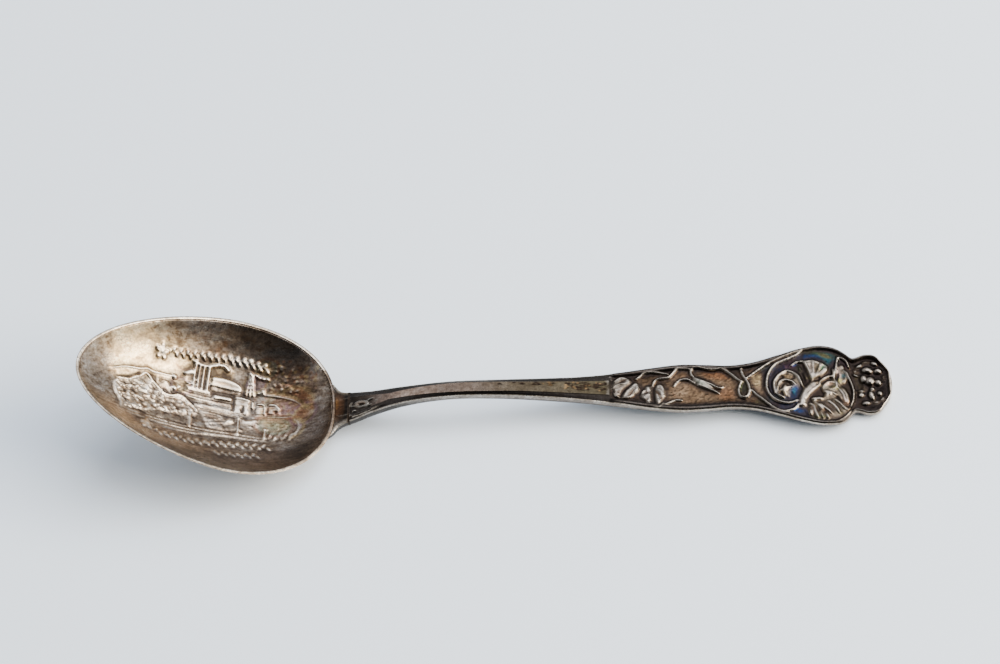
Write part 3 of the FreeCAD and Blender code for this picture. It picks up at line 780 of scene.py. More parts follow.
def make_bowl():
    """The bowl: its struck inside, its plain back, the rim between them, and the neck's stub."""
    shell = Shell()

    def density(u):
        ends = 1 / np.sqrt(np.minimum(u, BOWL_LENGTH - u) + 0.03)
        return 1 + 1.2 * ends + 2.2 * ((u > 4) & (u < 40))

    share = spread(0, BOWL_LENGTH, BOWL_ROWS, density) / BOWL_LENGTH
    inner_u = RIM_LAND + (BOWL_LENGTH - 2 * RIM_LAND) * share
    outer_u = BOWL_LENGTH * share
    inner_v = spread(
        -1, 1, BOWL_COLUMNS, lambda v: 1 + 1.6 * (np.abs(v) < 0.74) + 0.25 / np.sqrt(1.02 - np.abs(v)),
    )
    outer_v = spread(-1, 1, BOWL_BACK_COLUMNS, lambda v: 1 + 0.4 / np.sqrt(1.02 - np.abs(v)))

    u = inner_u[:, None] + 0 * inner_v[None, :]
    part = 0 * u + inner_v[None, :]
    across = bowl_half_width(inner_u, RIM_LAND)[:, None] * inner_v[None, :]
    base = bowl_to_world(u, across, bowl_inside(u, part))
    relief = Relief(BOWL_LENGTH - u, across, GREY, BOWL_SEED)
    bowl_relief(relief)
    bowl_tone(relief)
    relief.grain(0.012, 1.0)
    raised = blurred(relief.grid(), 1)
    side_fade = np.clip((1 - np.abs(part)) / 0.06, 0, 1)
    end_fade = np.clip(np.minimum(share, 1 - share)[:, None] / 0.02, 0, 1)
    raised = raised * (side_fade * end_fade)
    normal = np.cross(np.gradient(base, axis=0), np.gradient(base, axis=1))
    normal = normal / np.maximum(np.linalg.norm(normal, axis=-1, keepdims=True), 1e-9)
    normal[normal[..., 2] < 0] *= -1
    top = base + normal * raised[..., None]
    detail = blurred(raised, 1) - blurred(raised, 6)
    top_index = shell.pinched(top, high=detail, tone=relief.tone.reshape(u.shape + (3,)))

    out_part = 0 * outer_u[:, None] + outer_v[None, :]
    out_u = outer_u[:, None] + 0 * outer_v[None, :]
    back_across = bowl_half_width(outer_u)[:, None] * outer_v[None, :]
    back = bowl_to_world(out_u, back_across, bowl_outside(out_u, out_part))
    back[..., 2] = np.maximum(back[..., 2], CLEARANCE)
    back_index = shell.pinched(back, tone=SILVER)

    def loop(index):
        """Point numbers round a grid's edge, up one side and down the other."""
        return np.concatenate([index[:, -1], index[-2:0:-1, 0]])

    inner_loop = np.concatenate([inner_u, inner_u[-2:0:-1]])
    outer_loop = np.concatenate([outer_u, outer_u[-2:0:-1]])
    sign = np.concatenate([np.ones(BOWL_ROWS), -np.ones(BOWL_ROWS - 2)])
    inner_w = bowl_half_width(inner_loop, RIM_LAND) * sign
    outer_w = bowl_half_width(outer_loop) * sign
    bands = [loop(top_index)]
    for outward, drop in ((0.04, 0.08), (0.16, 0.015), (0.45, 0.0), (0.78, 0.0), (0.95, 0.035)):
        band_u = inner_loop + (outer_loop - inner_loop) * outward
        band_across = inner_w + (outer_w - inner_w) * outward
        near_neck = np.clip(1.8 - inner_loop / 1.6, 0, 1)[:, None]
        # painted light on the rim: its tone is darker on the near side and brightest on the far side, and its
        # rubbed-bright wear is painted stronger on the far side
        bright = np.interp(band_across, [-15.0, -2.0, 8.0], [0.48, 0.55, 1.0])[:, None]
        shade = bright * np.array(SILVER) * (1 - near_neck) + 0.75 * np.array(DUSK) * near_neck
        rim_wear_and_sheen = np.interp(band_across, [-12.0, 4.0], [0.025, 0.045]) * (1 - near_neck[:, 0])
        band = bowl_to_world(band_u, band_across, rim_height(outer_loop) - drop)
        bands.append(shell.add(band, high=rim_wear_and_sheen, tone=shade))
    bands.append(loop(back_index))
    shell.faces += grid_faces(top_index)
    shell.faces += grid_faces(back_index, flip=True)
    shell.faces += grid_faces(np.stack([np.append(band, band[0]) for band in bands], 0))
    stub = np.linspace(STUB_START, SEAM_STATION, STUB_ROWS)
    add_bar(shell, stub, STUB_COLUMNS, STUB_BACK_COLUMNS, under_bowl=True)
    return shell.piece("struck_bowl")


# ---------------------------------------------------------------- handle piece
# Shoulders where the bowl's outline runs into the handle: station, half width
SHOULDERS = np.array([
    (STUB_START, 6.0), (41.2, 5.4), (41.8, 4.80), (42.3, 4.10), (42.9, 3.55), (43.6, 3.22), (44.4, 3.00),
    (45.4, 2.79),
])
SHOULDER_END = 45.0


def handle_half_width(s):
    """Half width of the handle at each station, shoulders and rounded end included."""
    width = curve_through(s, HANDLE_SECTIONS[:, 0], HANDLE_SECTIONS[:, 1])
    end = HANDLE_SECTIONS[-1, 1] * np.sqrt(np.clip((LENGTH - s) / (LENGTH - END_CAP), 0, 1))
    width = np.where(s < SHOULDER_END, curve_through(s, SHOULDERS[:, 0], SHOULDERS[:, 1]), width)
    return np.where(s > END_CAP, end, width)


def handle_top(s):
    return curve_through(s, HANDLE_SECTIONS[:, 0], HANDLE_SECTIONS[:, 2])


def handle_thickness(s):
    return curve_through(s, HANDLE_SECTIONS[:, 0], HANDLE_SECTIONS[:, 3])


NEAR_BULGE = 0.45         # the wide end reaches a little further on the near side
BULGE_STATION = 131.4
BULGE_REACH = 1.7
# Heights from the handle's top face
GROUND = -0.34            # the panel's ground
HOLLOW = -0.62            # the hollow of the end
STEM_GROUND = -0.04       # the stem's band
CROWN = 0.12              # the moulding's crown
OUTER_FOOT = -0.26        # the moulding's foot at the handle's edge
TALLEST_AT_EDGE = 0.14    # the relief stays under this close to the handle's edge
UPRIGHT = 0.30            # height of the handle's upright side, above its rounded back


def mouldings(r, width):
    """Bevelled band along the stem, and half-round mouldings about the sunk panel, with a painted highlight
    along the handle's edge and painted shade on the stem's near bevel.

    Returns the ground's mask, and how far each point lies inside the moulding.
    """
    s = r.x
    across = np.abs(r.y)
    edge = np.minimum(width - across, LENGTH - s)
    panel = np.clip(s - PANEL_START + 0.2, 0, 1)
    band = np.interp(s, [44, 48, 52, 56, 64, 75, 85, 91], [1.9, 1.35, 0.62, 0.75, 0.95, 0.96, 1.22, 1.50])
    bevel = np.clip((across - band) / np.maximum(width - band, 0.05), 0, 1)
    stem = 0.02 - 0.05 * np.clip((across - band) / 0.08, 0, 1) - 0.30 * bevel ** 1.3
    wide = np.interp(s, [91, 95, 104, 112, 124, 132, 134], [0.8, 1.0, 1.05, 1.0, 0.85, 0.75, 0.7])
    ground = np.interp(s, [91, 131.8, 133.2], [GROUND, GROUND, HOLLOW])
    out = (edge - wide / 2) / (wide / 2)
    low = np.where(out < 0, OUTER_FOOT, ground)
    rail = low + (CROWN - low) * np.clip(1 - out ** 2, 0, 1) ** 0.5
    r.h[:] = stem * (1 - panel) + rail * panel
    inner = np.where(panel > 0.5, np.clip((edge - wide) / 0.25, 0, 1), np.clip((band - across) / 0.08, 0, 1))
    # painted highlight: a bright band along the handle's edge, widening round the rounded end
    crest = 0.16 + 0.90 * np.clip((s - 137.3) / 1.2, 0, 1)
    outline = np.clip(1.4 - 1.4 * edge / crest, 0, 1)[:, None]
    # painted shade: the stem's bevel is darker on the near side
    near_bevel_shade = np.where(r.y < 0, np.interp(s, [60, 72, 91, 92], [1.0, 0.35, 0.35, 1.0]), 1.0)
    r.tone[:] = np.array(SOOT) * near_bevel_shade[:, None]
    r.tone[:] = r.tone * (1 - outline) + np.array(SILVER) * outline
    return inner, np.clip(edge - wide, 0, None)


def handle_tone(r, deep):
    """Ground tones of the handle, with painted light along the stem's band and painted shade next to the
    mouldings; deep is how far each point lies inside the moulding.
    """
    s = r.x
    silver = np.interp(s, [44, 50, 66, 74, 91, 92], [0.25, 1.0, 0.85, 0.30, 0.0, 0.0])[:, None]
    # painted light along the stem's band: its ground is brightest just past the neck and dims towards the
    # panel
    lit_places = [44, 50, 54, 58, 63, 68, 76, 91]
    lit = np.interp(s, lit_places, [0.6, 2.0, 2.8, 2.2, 1.10, 0.56, 0.40, 0.32])[:, None]
    on_stem = s < PANEL_START + 0.2
    stem = on_stem[:, None]
    gold = np.where(stem, np.array(BRASS), np.array(GOLD))
    ground = (np.array(PINK) * silver + gold * (1 - silver)) * np.where(stem, lit, 1.0)
    places = [44, 48, 52, 56, 90, 91, 98, 104, 117, 120, 130, 132.5, 134, 135.2]
    darkness = np.interp(
        s, places, [0.9, 0.75, 0.2, 0.0, 0.0, 0.7, 0.45, 0.1, 0.1, 0.7, 0.7, 0.65, 0.7, 0.98],
    )
    black = np.where(stem, np.array(BLACK), np.array(INK))
    ground = ground * (1 - darkness[:, None]) + black * darkness[:, None]
    # painted shade: the panel's ground darkens next to the mouldings, out to about 2.4 mm from them
    moulding_shade = np.interp(deep, [0.0, 0.5, 1.3, 2.4], [0.14, 0.28, 0.72, 1.0])
    moulding_shade = np.where(on_stem, 1.0, moulding_shade)
    r.tone[:] = ground * moulding_shade[:, None]
    r.paint_all((
        ((109.8, 2.5), (6.5, 2.6), -8, RUST, 0.6), ((111.2, -1.4), (4.5, 3.4), 0, RUST, 0.5),
        ((104.5, -1.6), (7.0, 3.4), 5, GOLD, 0.7), ((103.0, 2.7), (6.0, 1.9), 10, BROWN, 0.5),
        ((116.6, 1.2), (2.6, 3.2), 0, (0.24, 0.17, 0.085), 0.8), ((117.2, -3.4), (4.4, 2.2), 35, OLIVE, 0.9),
        ((118.2, 3.7), (4.2, 2.6), -30, TEAL, 0.9), ((122.2, 4.0), (7.5, 3.6), -28, PURPLE, 0.9),
        ((119.6, 2.2), (4.4, 6.4), -30, BLUE, 0.85), ((119.2, -0.6), (3.0, 8.4), 0, BLUE, 0.85),
        ((120.8, -3.4), (6.4, 3.0), -15, TEAL, 0.85), ((121.8, -4.6), (6.4, 2.8), -8, BLUE, 0.95),
        ((119.3, -4.2), (3.4, 2.2), 40, PURPLE, 0.7), ((124.0, -5.9), (5.0, 4.0), -20, BLUE, 0.95),
        ((127.0, 7.2), (10.0, 2.2), -3, PURPLE, 0.95), ((127.4, 6.3), (9.4, 2.0), -8, GREEN, 0.95),
        ((126.0, 5.6), (7.0, 2.2), -2, BLUE, 0.95), ((129.6, 5.2), (4.6, 3.2), -40, TEAL, 0.95),
        ((128.8, 6.0), (3.4, 1.2), -20, OLIVE, 0.9), ((130.3, 3.9), (2.2, 3.0), 0, PURPLE, 0.85),
        ((122.6, -1.9), (4.4, 5.4), 0, BLUE, 0.95), ((121.4, 0.6), (5.0, 4.2), 0, OLIVE, 0.6),
        ((121.6, 0.8), (2.8, 1.3), 0, RUST, 0.6), ((114.2, -0.3), (1.8, 3.4), 0, GREEN, 0.9),
        ((129.6, -0.5), (5.0, 3.6), 0, OLIVE, 0.75), ((131.8, 4.2), (2.0, 3.0), 0, PURPLE, 0.8),
        ((127.5, -5.2), (8.0, 5.4), -35, UMBER, 0.8), ((132.2, -2.0), (1.8, 5.6), 0, OLIVE, 0.6),
        ((137.4, 0.0), (9.0, 22.0), 0, INK, 0.95), ((134.1, 0.2), (2.4, 7.0), 0, OLIVE, 0.5),
    ))


def folded_leaves(r):
    """Two leaves where the panel begins, each a pair of lobes folded along a vein, with raised creases."""
    lobes = (
        [
            (91.2, 0.9), (91.7, 1.7), (93.0, 2.3), (94.2, 2.1), (94.7, 1.2), (94.1, 0.4), (93.1, -0.4),
            (92.6, -1.5), (91.9, -1.8), (91.5, -1.0), (91.1, 0.1),
        ],
        [
            (94.8, 1.0), (95.5, 1.3), (96.1, 0.4), (95.9, -0.7), (95.1, -1.3), (94.4, -1.9), (93.1, -2.2),
            (92.8, -1.9), (93.1, -1.0), (93.9, 0.1),
        ],
        [
            (97.5, 0.6), (98.1, 0.3), (98.2, -0.8), (98.1, -2.3), (98.1, -3.3), (97.5, -3.2), (96.8, -2.7),
            (96.1, -1.8), (96.2, -1.3), (96.9, -0.7), (97.0, 0.2),
        ],
        [
            (98.7, 0.3), (99.4, 0.9), (100.3, 0.4), (100.6, -0.8), (100.4, -1.8), (99.8, -2.9),
            (99.2, -3.8), (98.8, -3.3), (98.6, -2.1), (98.5, -0.8),
        ],
    )
    r.coat = WORN_LEAF
    for lobe in lobes:
        r.plate(lobe, 0.34, 0.32, GROUND, smooth=True)
    for centre, length, turn in (
        ((92.3, -0.8), 1.2, 60), ((93.2, 1.4), 1.6, 30), ((94.6, -1.0), 1.4, 55), ((97.3, -1.0), 1.2, 35),
        ((97.3, -2.4), 1.0, 40), ((99.1, -1.0), 1.4, -50), ((99.7, -2.0), 1.2, -60),
    ):
        r.hollow(centre, length * 1.3, 0.36, turn, 0.16)
        r.paint(centre, length * 1.4, 0.45, turn, UMBER, 0.7)
    r.coat = WORN_WIRE
    creases = (
        [(91.3, -0.2), (92.3, 0.6), (93.4, 0.8), (94.3, 1.4)], [(91.6, 1.2), (92.6, 1.9), (93.6, 2.0)],
        [(93.3, -1.8), (94.0, -0.7), (94.8, 0.1), (95.2, 0.9)], [(95.7, 0.8), (95.7, -0.1), (95.2, -0.8)],
        [(96.5, -2.0), (97.1, -1.7), (97.9, -1.2)], [(97.3, -2.9), (97.7, -2.3), (97.9, -1.6)],
        [(97.3, 0.2), (97.7, -0.3)], [(98.9, -0.2), (99.6, -0.6), (100.3, -1.7)],
        [(98.9, -2.0), (99.3, -2.6), (99.4, -3.3)], [(99.2, 0.5), (99.9, 0.3), (100.3, -0.5)],
        [(96.4, -1.2), (96.9, -0.4)], [(91.5, -1.0), (91.9, -1.7), (92.5, -1.9)],
        [(93.0, -2.1), (94.2, -1.9), (95.0, -1.3)],
    )
    for line in creases:
        r.wire(line, 0.36, 0.50, (0.6, 0.6), GROUND)


def vines(r):
    """Tendrils along the panel, the loop, and the two long vines with the scroll at the wide end."""
    thin = (
        [(95.4, 1.8), (96.2, 2.4), (97.0, 3.05), (98.0, 3.2), (99.2, 3.1), (101.2, 2.8)],
        [
            (98.3, 0.2), (98.5, 1.0), (98.9, 1.6), (99.6, 1.85), (100.6, 1.95), (101.3, 2.2), (101.9, 2.9),
            (102.4, 3.5), (102.9, 3.85), (103.6, 3.80), (104.4, 3.75), (105.1, 3.60),
        ],
        [
            (102.0, 0.2), (102.4, 0.8), (103.0, 1.35), (103.8, 1.6), (104.6, 1.55), (105.2, 1.2),
            (105.8, 0.6),
        ],
        [(105.6, 4.0), (105.2, 3.5), (105.1, 3.0), (105.3, 2.4), (105.8, 1.9)],
        [
            (98.0, -3.1), (98.3, -3.8), (99.0, -4.0), (99.6, -3.9), (100.0, -3.2), (100.4, -3.4),
            (101.0, -3.2), (101.6, -2.9), (102.3, -2.6), (103.4, -2.6),
        ],
    )
    for line in thin:
        r.wire(line, 0.42, 0.50, (0.5, 0.5), GROUND)
    thick = (
        [
            (105.6, 4.1), (106.2, 4.2), (107.0, 3.9), (108.0, 3.6), (109.0, 3.5), (110.0, 3.6),
            (110.4, 3.7), (111.2, 3.2), (112.2, 2.4), (113.2, 1.4), (114.0, 0.9),
        ],
        [
            (113.9, 1.0), (113.5, 0.0), (113.3, -1.0), (113.5, -1.9), (113.9, -2.35), (114.5, -2.3),
            (115.0, -1.8), (115.2, -0.8), (115.1, 0.2), (114.7, 1.2), (114.2, 2.2), (113.9, 3.4),
        ],
        [
            (115.5, -0.9), (116.3, -1.8), (117.5, -3.0), (119.0, -4.5), (120.3, -5.3), (121.5, -5.4),
            (122.8, -4.9), (123.5, -4.0),
        ],
        [(114.9, 1.6), (116.5, 2.8), (118.5, 4.2), (120.5, 5.3), (122.3, 6.1), (124.0, 6.8), (124.9, 7.2)],
    )
    for line in thick:
        r.wire(line, 0.52, 0.56, (0.7, 0.7), GROUND)
    scroll = [
        (124.7, 7.0), (123.8, 6.1), (122.5, 5.4), (121.0, 4.7), (120.0, 4.2), (119.2, 3.3), (118.6, 2.2),
        (118.3, 1.0), (118.2, -0.2), (118.4, -1.3), (118.9, -2.3), (119.7, -3.1), (120.7, -3.6),
        (121.8, -3.75), (122.8, -3.5), (123.4, -3.2),
    ]
    r.wire(scroll, 0.60, 0.60, (0.8, 0.7), GROUND)
    # bud between the tendrils
    r.dome((107.2, 0.7), 4.4, 1.7, -33, 0.52, GROUND, 0.6)
    r.paint((106.9, 0.8), 2.8, 1.3, -33, (0.080, 0.105, 0.070), 0.7)
    r.wire(
        [
            (105.6, 1.9), (106.6, 1.3), (107.6, 0.9), (108.6, 0.4), (109.4, -0.1), (110.1, -0.35),
            (110.7, 0.0),
        ],
        0.46, 0.60, (0.6, 0.5), GROUND,
    )
    r.wire(
        [(106.2, 0.4), (107.4, -0.1), (108.5, -0.6), (109.3, -1.0), (109.9, -1.4)], 0.42, 0.54, (0.6, 0.5),
        GROUND,
    )


def rosette(r):
    """Curled leaf inside the scroll."""
    r.dome((121.8, 0.4), 4.6, 4.6, 0, 0.30, GROUND, 0.5)
    r.hollow((121.5, 0.2), 3.6, 3.2, 0, 0.22)
    r.plate([(121.0, -0.7), (122.3, -0.7), (122.2, -2.6), (121.4, -2.4)], 0.22, 0.3, GROUND)
    folds = (
        ([(119.6, -1.8), (119.5, 0.3), (120.0, 1.4), (120.8, 2.2), (121.8, 2.8), (122.8, 2.6)], 0.55),
        ([(122.3, 2.6), (123.0, 2.4), (123.9, 1.4), (124.3, 0.2), (124.6, -0.6)], 0.55),
        ([(119.9, -1.5), (120.4, 0.3), (120.8, 0.5)], 0.40),
        ([(120.4, 0.6), (121.5, 0.9), (122.6, 0.6), (123.2, 0.0)], 0.45),
        ([(121.6, -0.3), (121.3, -1.3), (121.4, -2.2)], 0.50),
        ([(120.2, -1.6), (121.0, -0.9), (121.5, 0.0)], 0.40),
        ([(119.8, -1.8), (120.6, -2.4), (121.2, -2.6)], 0.40),
        ([(120.9, -1.5), (121.9, -0.6), (122.8, -0.3)], 0.34),
    )
    for line, size in folds:
        r.wire(line, size, 0.62, (0.7, 0.6), GROUND)
    for centre in ((120.9, 1.5), (122.9, 1.4), (120.6, -0.7), (122.3, 0.1)):
        r.hollow(centre, 1.0, 0.6, 20, 0.22)
    r.paint((123.3, -1.7), 3.0, 4.2, 0, BLUE, 0.95)
    r.paint((122.9, -1.4), 0.9, 2.0, 0, TEAL, 0.6)
    r.paint((121.9, 1.6), 3.0, 1.2, -8, (0.13, 0.085, 0.040), 0.8)
    r.paint((121.4, -1.3), 0.8, 2.4, -12, CREAM, 0.6)


def flower(r):
    """Open flower with its stem, upright petals and bud, and the fluted leaf under it."""
    fan = [
        (124.9, 4.7), (126.5, 4.85), (127.8, 4.4), (128.9, 3.7), (128.7, 2.7), (127.6, 1.5), (126.7, 0.8),
        (125.7, 0.9), (125.3, 2.6),
    ]
    r.plate(fan, 0.36, 0.35, GROUND, lean=0.05)
    for tip, size in (((125.1, 4.4), 0.50), ((126.55, 4.5), 0.85), ((127.9, 4.0), 0.5), ((128.5, 3.2), 0.45)):
        r.wire(
            [(126.1, 0.9), ((126.1 + tip[0]) / 2 + 0.2, (0.9 + tip[1]) / 2), tip], size, 0.62, (0.5, 1.0),
            GROUND,
        )
    r.wire([(122.5, 3.8), (123.6, 4.55)] + fan[:4], 0.34, 0.62, (0.5, 0.8), GROUND)
    r.wire([(123.9, 3.9), (124.6, 2.6), (125.3, 1.2)], 0.36, 0.24, (0.4, 0.5), GROUND)
    stem = [
        (123.3, -4.8), (124.9, -4.5), (125.1, -3.0), (125.6, -2.2), (127.6, 0.6), (127.4, 0.9),
        (125.9, 0.7), (124.4, -0.9), (123.7, -2.6),
    ]
    r.plate(stem, 0.44, 0.35, GROUND)
    r.petal((129.4, -0.4), 3.8, 2.6, 20, 0.46, GROUND)
    r.petal((131.4, -2.2), 3.8, 1.9, -70, 0.42, GROUND)
    r.petal((129.3, -2.1), 3.0, 1.5, 25, 0.42, GROUND)
    r.petal((131.3, 2.9), 2.6, 1.3, 80, 0.40, GROUND)
    r.petal((131.5, 1.2), 2.2, 1.7, 60, 0.40, GROUND)
    folds = (
        ([(128.9, 3.6), (128.8, 2.9), (128.3, 2.3), (127.6, 1.5)], 0.36),
        ([(125.1, -2.6), (126.0, -1.4), (127.2, -0.3), (127.6, 0.5)], 0.44),
        ([(127.6, 0.7), (128.8, 1.5), (129.8, 1.7)], 0.46),
        ([(130.6, -0.8), (131.4, -2.0), (131.6, -3.2)], 0.44),
        ([(130.9, 5.5), (130.6, 4.0), (130.3, 2.6), (130.0, 1.2)], 0.50),
        ([(130.9, 5.6), (131.6, 5.4), (132.4, 4.6), (132.7, 3.6)], 0.38),
        ([(131.9, 2.8), (132.4, 1.7), (132.8, 0.5)], 0.42),
        ([(132.3, 2.5), (132.9, 0.3), (133.2, -1.0), (133.2, -2.2), (133.0, -3.4), (132.5, -4.6)], 0.46),
        ([(130.0, 1.2), (130.4, 0.2), (130.2, -0.7), (129.0, -1.0)], 0.36),
        ([(128.2, -0.2), (129.2, 0.5), (130.2, 0.2)], 0.34),
        ([(128.0, -1.6), (129.2, -1.6), (130.4, -2.2)], 0.34),
        ([(129.9, 3.2), (129.9, 2.2), (129.6, 1.3)], 0.3),
    )
    for line, size in folds:
        r.wire(line, size, 0.62, (0.8, 0.7), GROUND)
    leaf = [
        (124.9, -4.6), (126.2, -3.2), (129.6, -2.6), (132.4, -4.9), (131.4, -6.2), (129.0, -7.3),
        (126.8, -7.5), (125.2, -6.3),
    ]
    r.plate(leaf, 0.12, 0.5, GROUND)
    flutes = (
        [(125.4, -3.9), (126.2, -4.5), (126.6, -5.5)], [(127.3, -4.1), (128.3, -5.0), (129.3, -6.0)],
        [(128.7, -3.4), (129.8, -4.4), (130.6, -5.8)],
        [(129.8, -3.0), (130.8, -3.9), (131.6, -4.9), (132.2, -5.1)], [(125.6, -5.3), (125.5, -6.2)],
        [(126.2, -5.0), (126.6, -6.2), (126.9, -7.2)], [(127.2, -5.6), (127.6, -6.6), (127.7, -7.2)],
        [(128.2, -6.0), (128.6, -7.0)], [(126.0, -3.0), (127.4, -2.9), (128.0, -2.9)],
        [(128.5, -2.2), (129.5, -1.8)], [(126.3, -3.6), (127.2, -4.6), (127.9, -5.7)],
    )
    for number, line in enumerate(flutes):
        r.wire(line, 0.50 + 0.12 * (number % 3), 0.50 + 0.06 * (number % 2), (0.9, 0.4), GROUND)
    r.wire([(129.5, -7.7), (131.0, -7.0), (132.2, -5.9), (132.6, -5.3)], 0.44, 0.58, (0.5, 0.7), GROUND)
    r.hollow((124.6, 1.6), 1.0, 5.4, 0, 0.2)
    r.hollow((124.4, -6.0), 1.8, 1.6, 0, 0.12)
    r.paint_all((
        # painted shadow: near-black at the fan's left end, where its fold lies in shadow
        ((124.3, 2.9), (2.0, 5.0), 22, (0.012, 0.012, 0.008), 0.95),
        ((126.2, 3.0), (1.3, 3.4), 8, (0.34, 0.275, 0.22), 0.9),
        ((127.3, 3.2), (1.0, 3.0), -14, BRASS, 0.8),
        ((128.3, 3.4), (1.2, 2.0), -30, (0.07, 0.13, 0.07), 0.9), ((123.2, 4.1), (1.6, 0.9), 0, BLUE, 0.7),
        ((126.0, 1.3), (2.0, 0.8), 0, (0.10, 0.085, 0.035), 0.8),
        ((124.6, -3.4), (1.7, 3.2), -10, (0.30, 0.25, 0.205), 0.9),
        ((126.0, -1.2), (2.4, 1.0), 52, (0.34, 0.25, 0.19), 0.8),
        ((127.3, -1.6), (2.6, 1.2), 35, UMBER, 0.8),
        ((129.0, 0.1), (2.0, 1.0), 10, (0.34, 0.21, 0.13), 0.8),
        ((130.1, -0.7), (2.4, 0.9), -20, (0.22, 0.18, 0.07), 0.8),
        ((130.9, 2.3), (1.0, 2.2), 10, (0.36, 0.26, 0.21), 0.8), ((131.7, 1.7), (1.2, 1.4), 0, TEAL, 0.8),
        ((131.0, 0.7), (1.0, 1.2), 0, (0.30, 0.26, 0.08), 0.7),
        ((131.8, -3.6), (1.6, 2.8), 20, (0.30, 0.19, 0.13), 0.7),
        ((129.2, -4.4), (1.0, 2.6), 50, (0.28, 0.19, 0.14), 0.6),
        ((126.0, -5.0), (0.9, 2.2), 10, (0.32, 0.22, 0.17), 0.6),
        ((128.0, -5.4), (0.9, 3.0), 40, UMBER, 0.8),
        ((127.2, -6.6), (3.4, 1.0), 0, (0.06, 0.065, 0.03), 0.8),
        ((130.6, -5.6), (2.6, 1.2), -40, OLIVE, 0.7),
    ))


def berries(r):
    """Berries and leaf scraps in the hollow of the end, with a painted highlight on the top of each taller
    berry.
    """
    for x, y, length, width, turn, tall in (
        (135.9, 2.9, 1.9, 1.3, -15, 0.66), (137.7, 2.7, 1.3, 1.1, 0, 0.54), (135.2, 1.2, 1.2, 1.6, 0, 0.56),
        (136.25, 0.7, 1.6, 1.7, 0, 0.72), (137.6, 0.35, 1.2, 1.2, 0, 0.56),
        (136.5, -0.9, 0.8, 0.8, 0, 0.40), (136.3, -2.2, 1.0, 1.7, 10, 0.58),
        (134.5, -2.0, 1.2, 0.9, 20, 0.34), (137.7, -1.8, 0.9, 0.9, -30, 0.36),
        (135.3, -3.7, 1.4, 0.8, 10, 0.34), (137.2, 4.3, 1.3, 0.8, -30, 0.34),
        (134.6, 3.9, 1.4, 0.7, 30, 0.30), (135.7, 4.7, 1.5, 1.0, 0, 0.16), (136.9, -3.5, 1.3, 1.0, 0, 0.14),
        (135.1, -0.6, 1.1, 1.2, 0, 0.14), (138.7, 1.4, 0.8, 1.2, 0, 0.14), (133.8, 2.9, 1.0, 1.2, 0, 0.14),
        (138.2, -3.0, 1.0, 1.1, 0, 0.14),
    ):
        r.dome((x, y), 1.25 * length, 1.25 * width, turn, tall, HOLLOW, 0.7)
        # painted highlight on the lit top of each berry, stronger on taller ones
        top_highlight = min(max((tall - 0.25) / 0.3, 0.0), 1.0)
        r.paint((x - 0.05, y + 0.1), 0.8 * length, 0.8 * width, turn, (0.33, 0.25, 0.185), 0.9 * top_highlight)
    for line in (
        [(133.3, 2.2), (134.0, 1.9), (134.6, 1.7)], [(133.6, -1.4), (134.4, -1.2), (135.2, -1.3)],
    ):
        r.wire(line, 0.34, 0.36, (0.6, 0.4), HOLLOW)


def neck_leaf(r):
    """Small bud and leaves in the widening next to the bowl."""
    r.petal((46.9, -0.3), 2.9, 1.6, -10, 0.46, STEM_GROUND)
    r.paint((46.8, -0.1), 2.4, 1.2, -10, (0.34, 0.25, 0.19), 0.7)
    r.hollow((47.0, -0.35), 1.5, 0.5, -8, 0.32)
    r.paint((47.0, -0.35), 1.3, 0.4, -8, UMBER, 0.9)
    for line in (
        [(47.9, -0.1), (48.5, 0.25), (49.1, 0.45)], [(47.6, -0.9), (48.2, -1.0), (48.8, -0.75)],
        [(45.2, 0.45), (44.9, 0.1), (45.0, -0.3), (45.5, -0.45)],
        [(44.9, -2.0), (45.3, -2.35), (46.0, -2.25), (47.5, -2.0), (50.0, -1.45)],
    ):
        r.wire(line, 0.40, 0.38, (0.6, 0.5), STEM_GROUND)
    r.dome((45.5, -1.35), 0.8, 0.55, 10, 0.36, STEM_GROUND)
    r.dome((49.7, -0.2), 0.5, 0.5, 0, 0.26, STEM_GROUND)


def worn_patches(r):
    """Pits in the stem's band, most of them dark and some golden, and specks on the panel's ground."""
    golden = (0.125, 0.076, 0.034)
    corroded = (0.014, 0.008, 0.005)
    for middle, reach, line, scatter, count in (
        (71.9, 0.3, 0.45, 0.05, 3), (74.9, 0.9, 0.65, 0.08, 6), (79.4, 2.0, 0.60, 0.18, 16),
        (86.7, 3.6, 0.20, 0.45, 80),
    ):
        for _ in range(count):
            x = middle + r.rng.uniform(-reach, reach)
            y = min(max(r.rng.normal(line, scatter), -0.95), 0.95)
            size = r.rng.uniform(0.14, 0.34)
            turn = r.rng.uniform(-30, 30)
            colour = golden if r.rng.random() < 0.2 else corroded
            r.hollow((x, y), size * 2.0, size, turn, r.rng.uniform(0.03, 0.08))
            r.paint((x, y), size * 2.4, size * 1.6, turn, colour, 0.95)
    for _ in range(1100):
        x = r.rng.uniform(92, 124)
        y = r.rng.uniform(-4.2, 4.2)
        size = r.rng.uniform(0.12, 0.36)
        r.paint((x, y), size * 1.8, size * 1.2, r.rng.uniform(0, 180), UMBER, r.rng.uniform(0.1, 0.6))
    r.groove([(91.3, -1.5), (91.4, 0.0), (91.3, 1.5)], 0.5, 0.12)


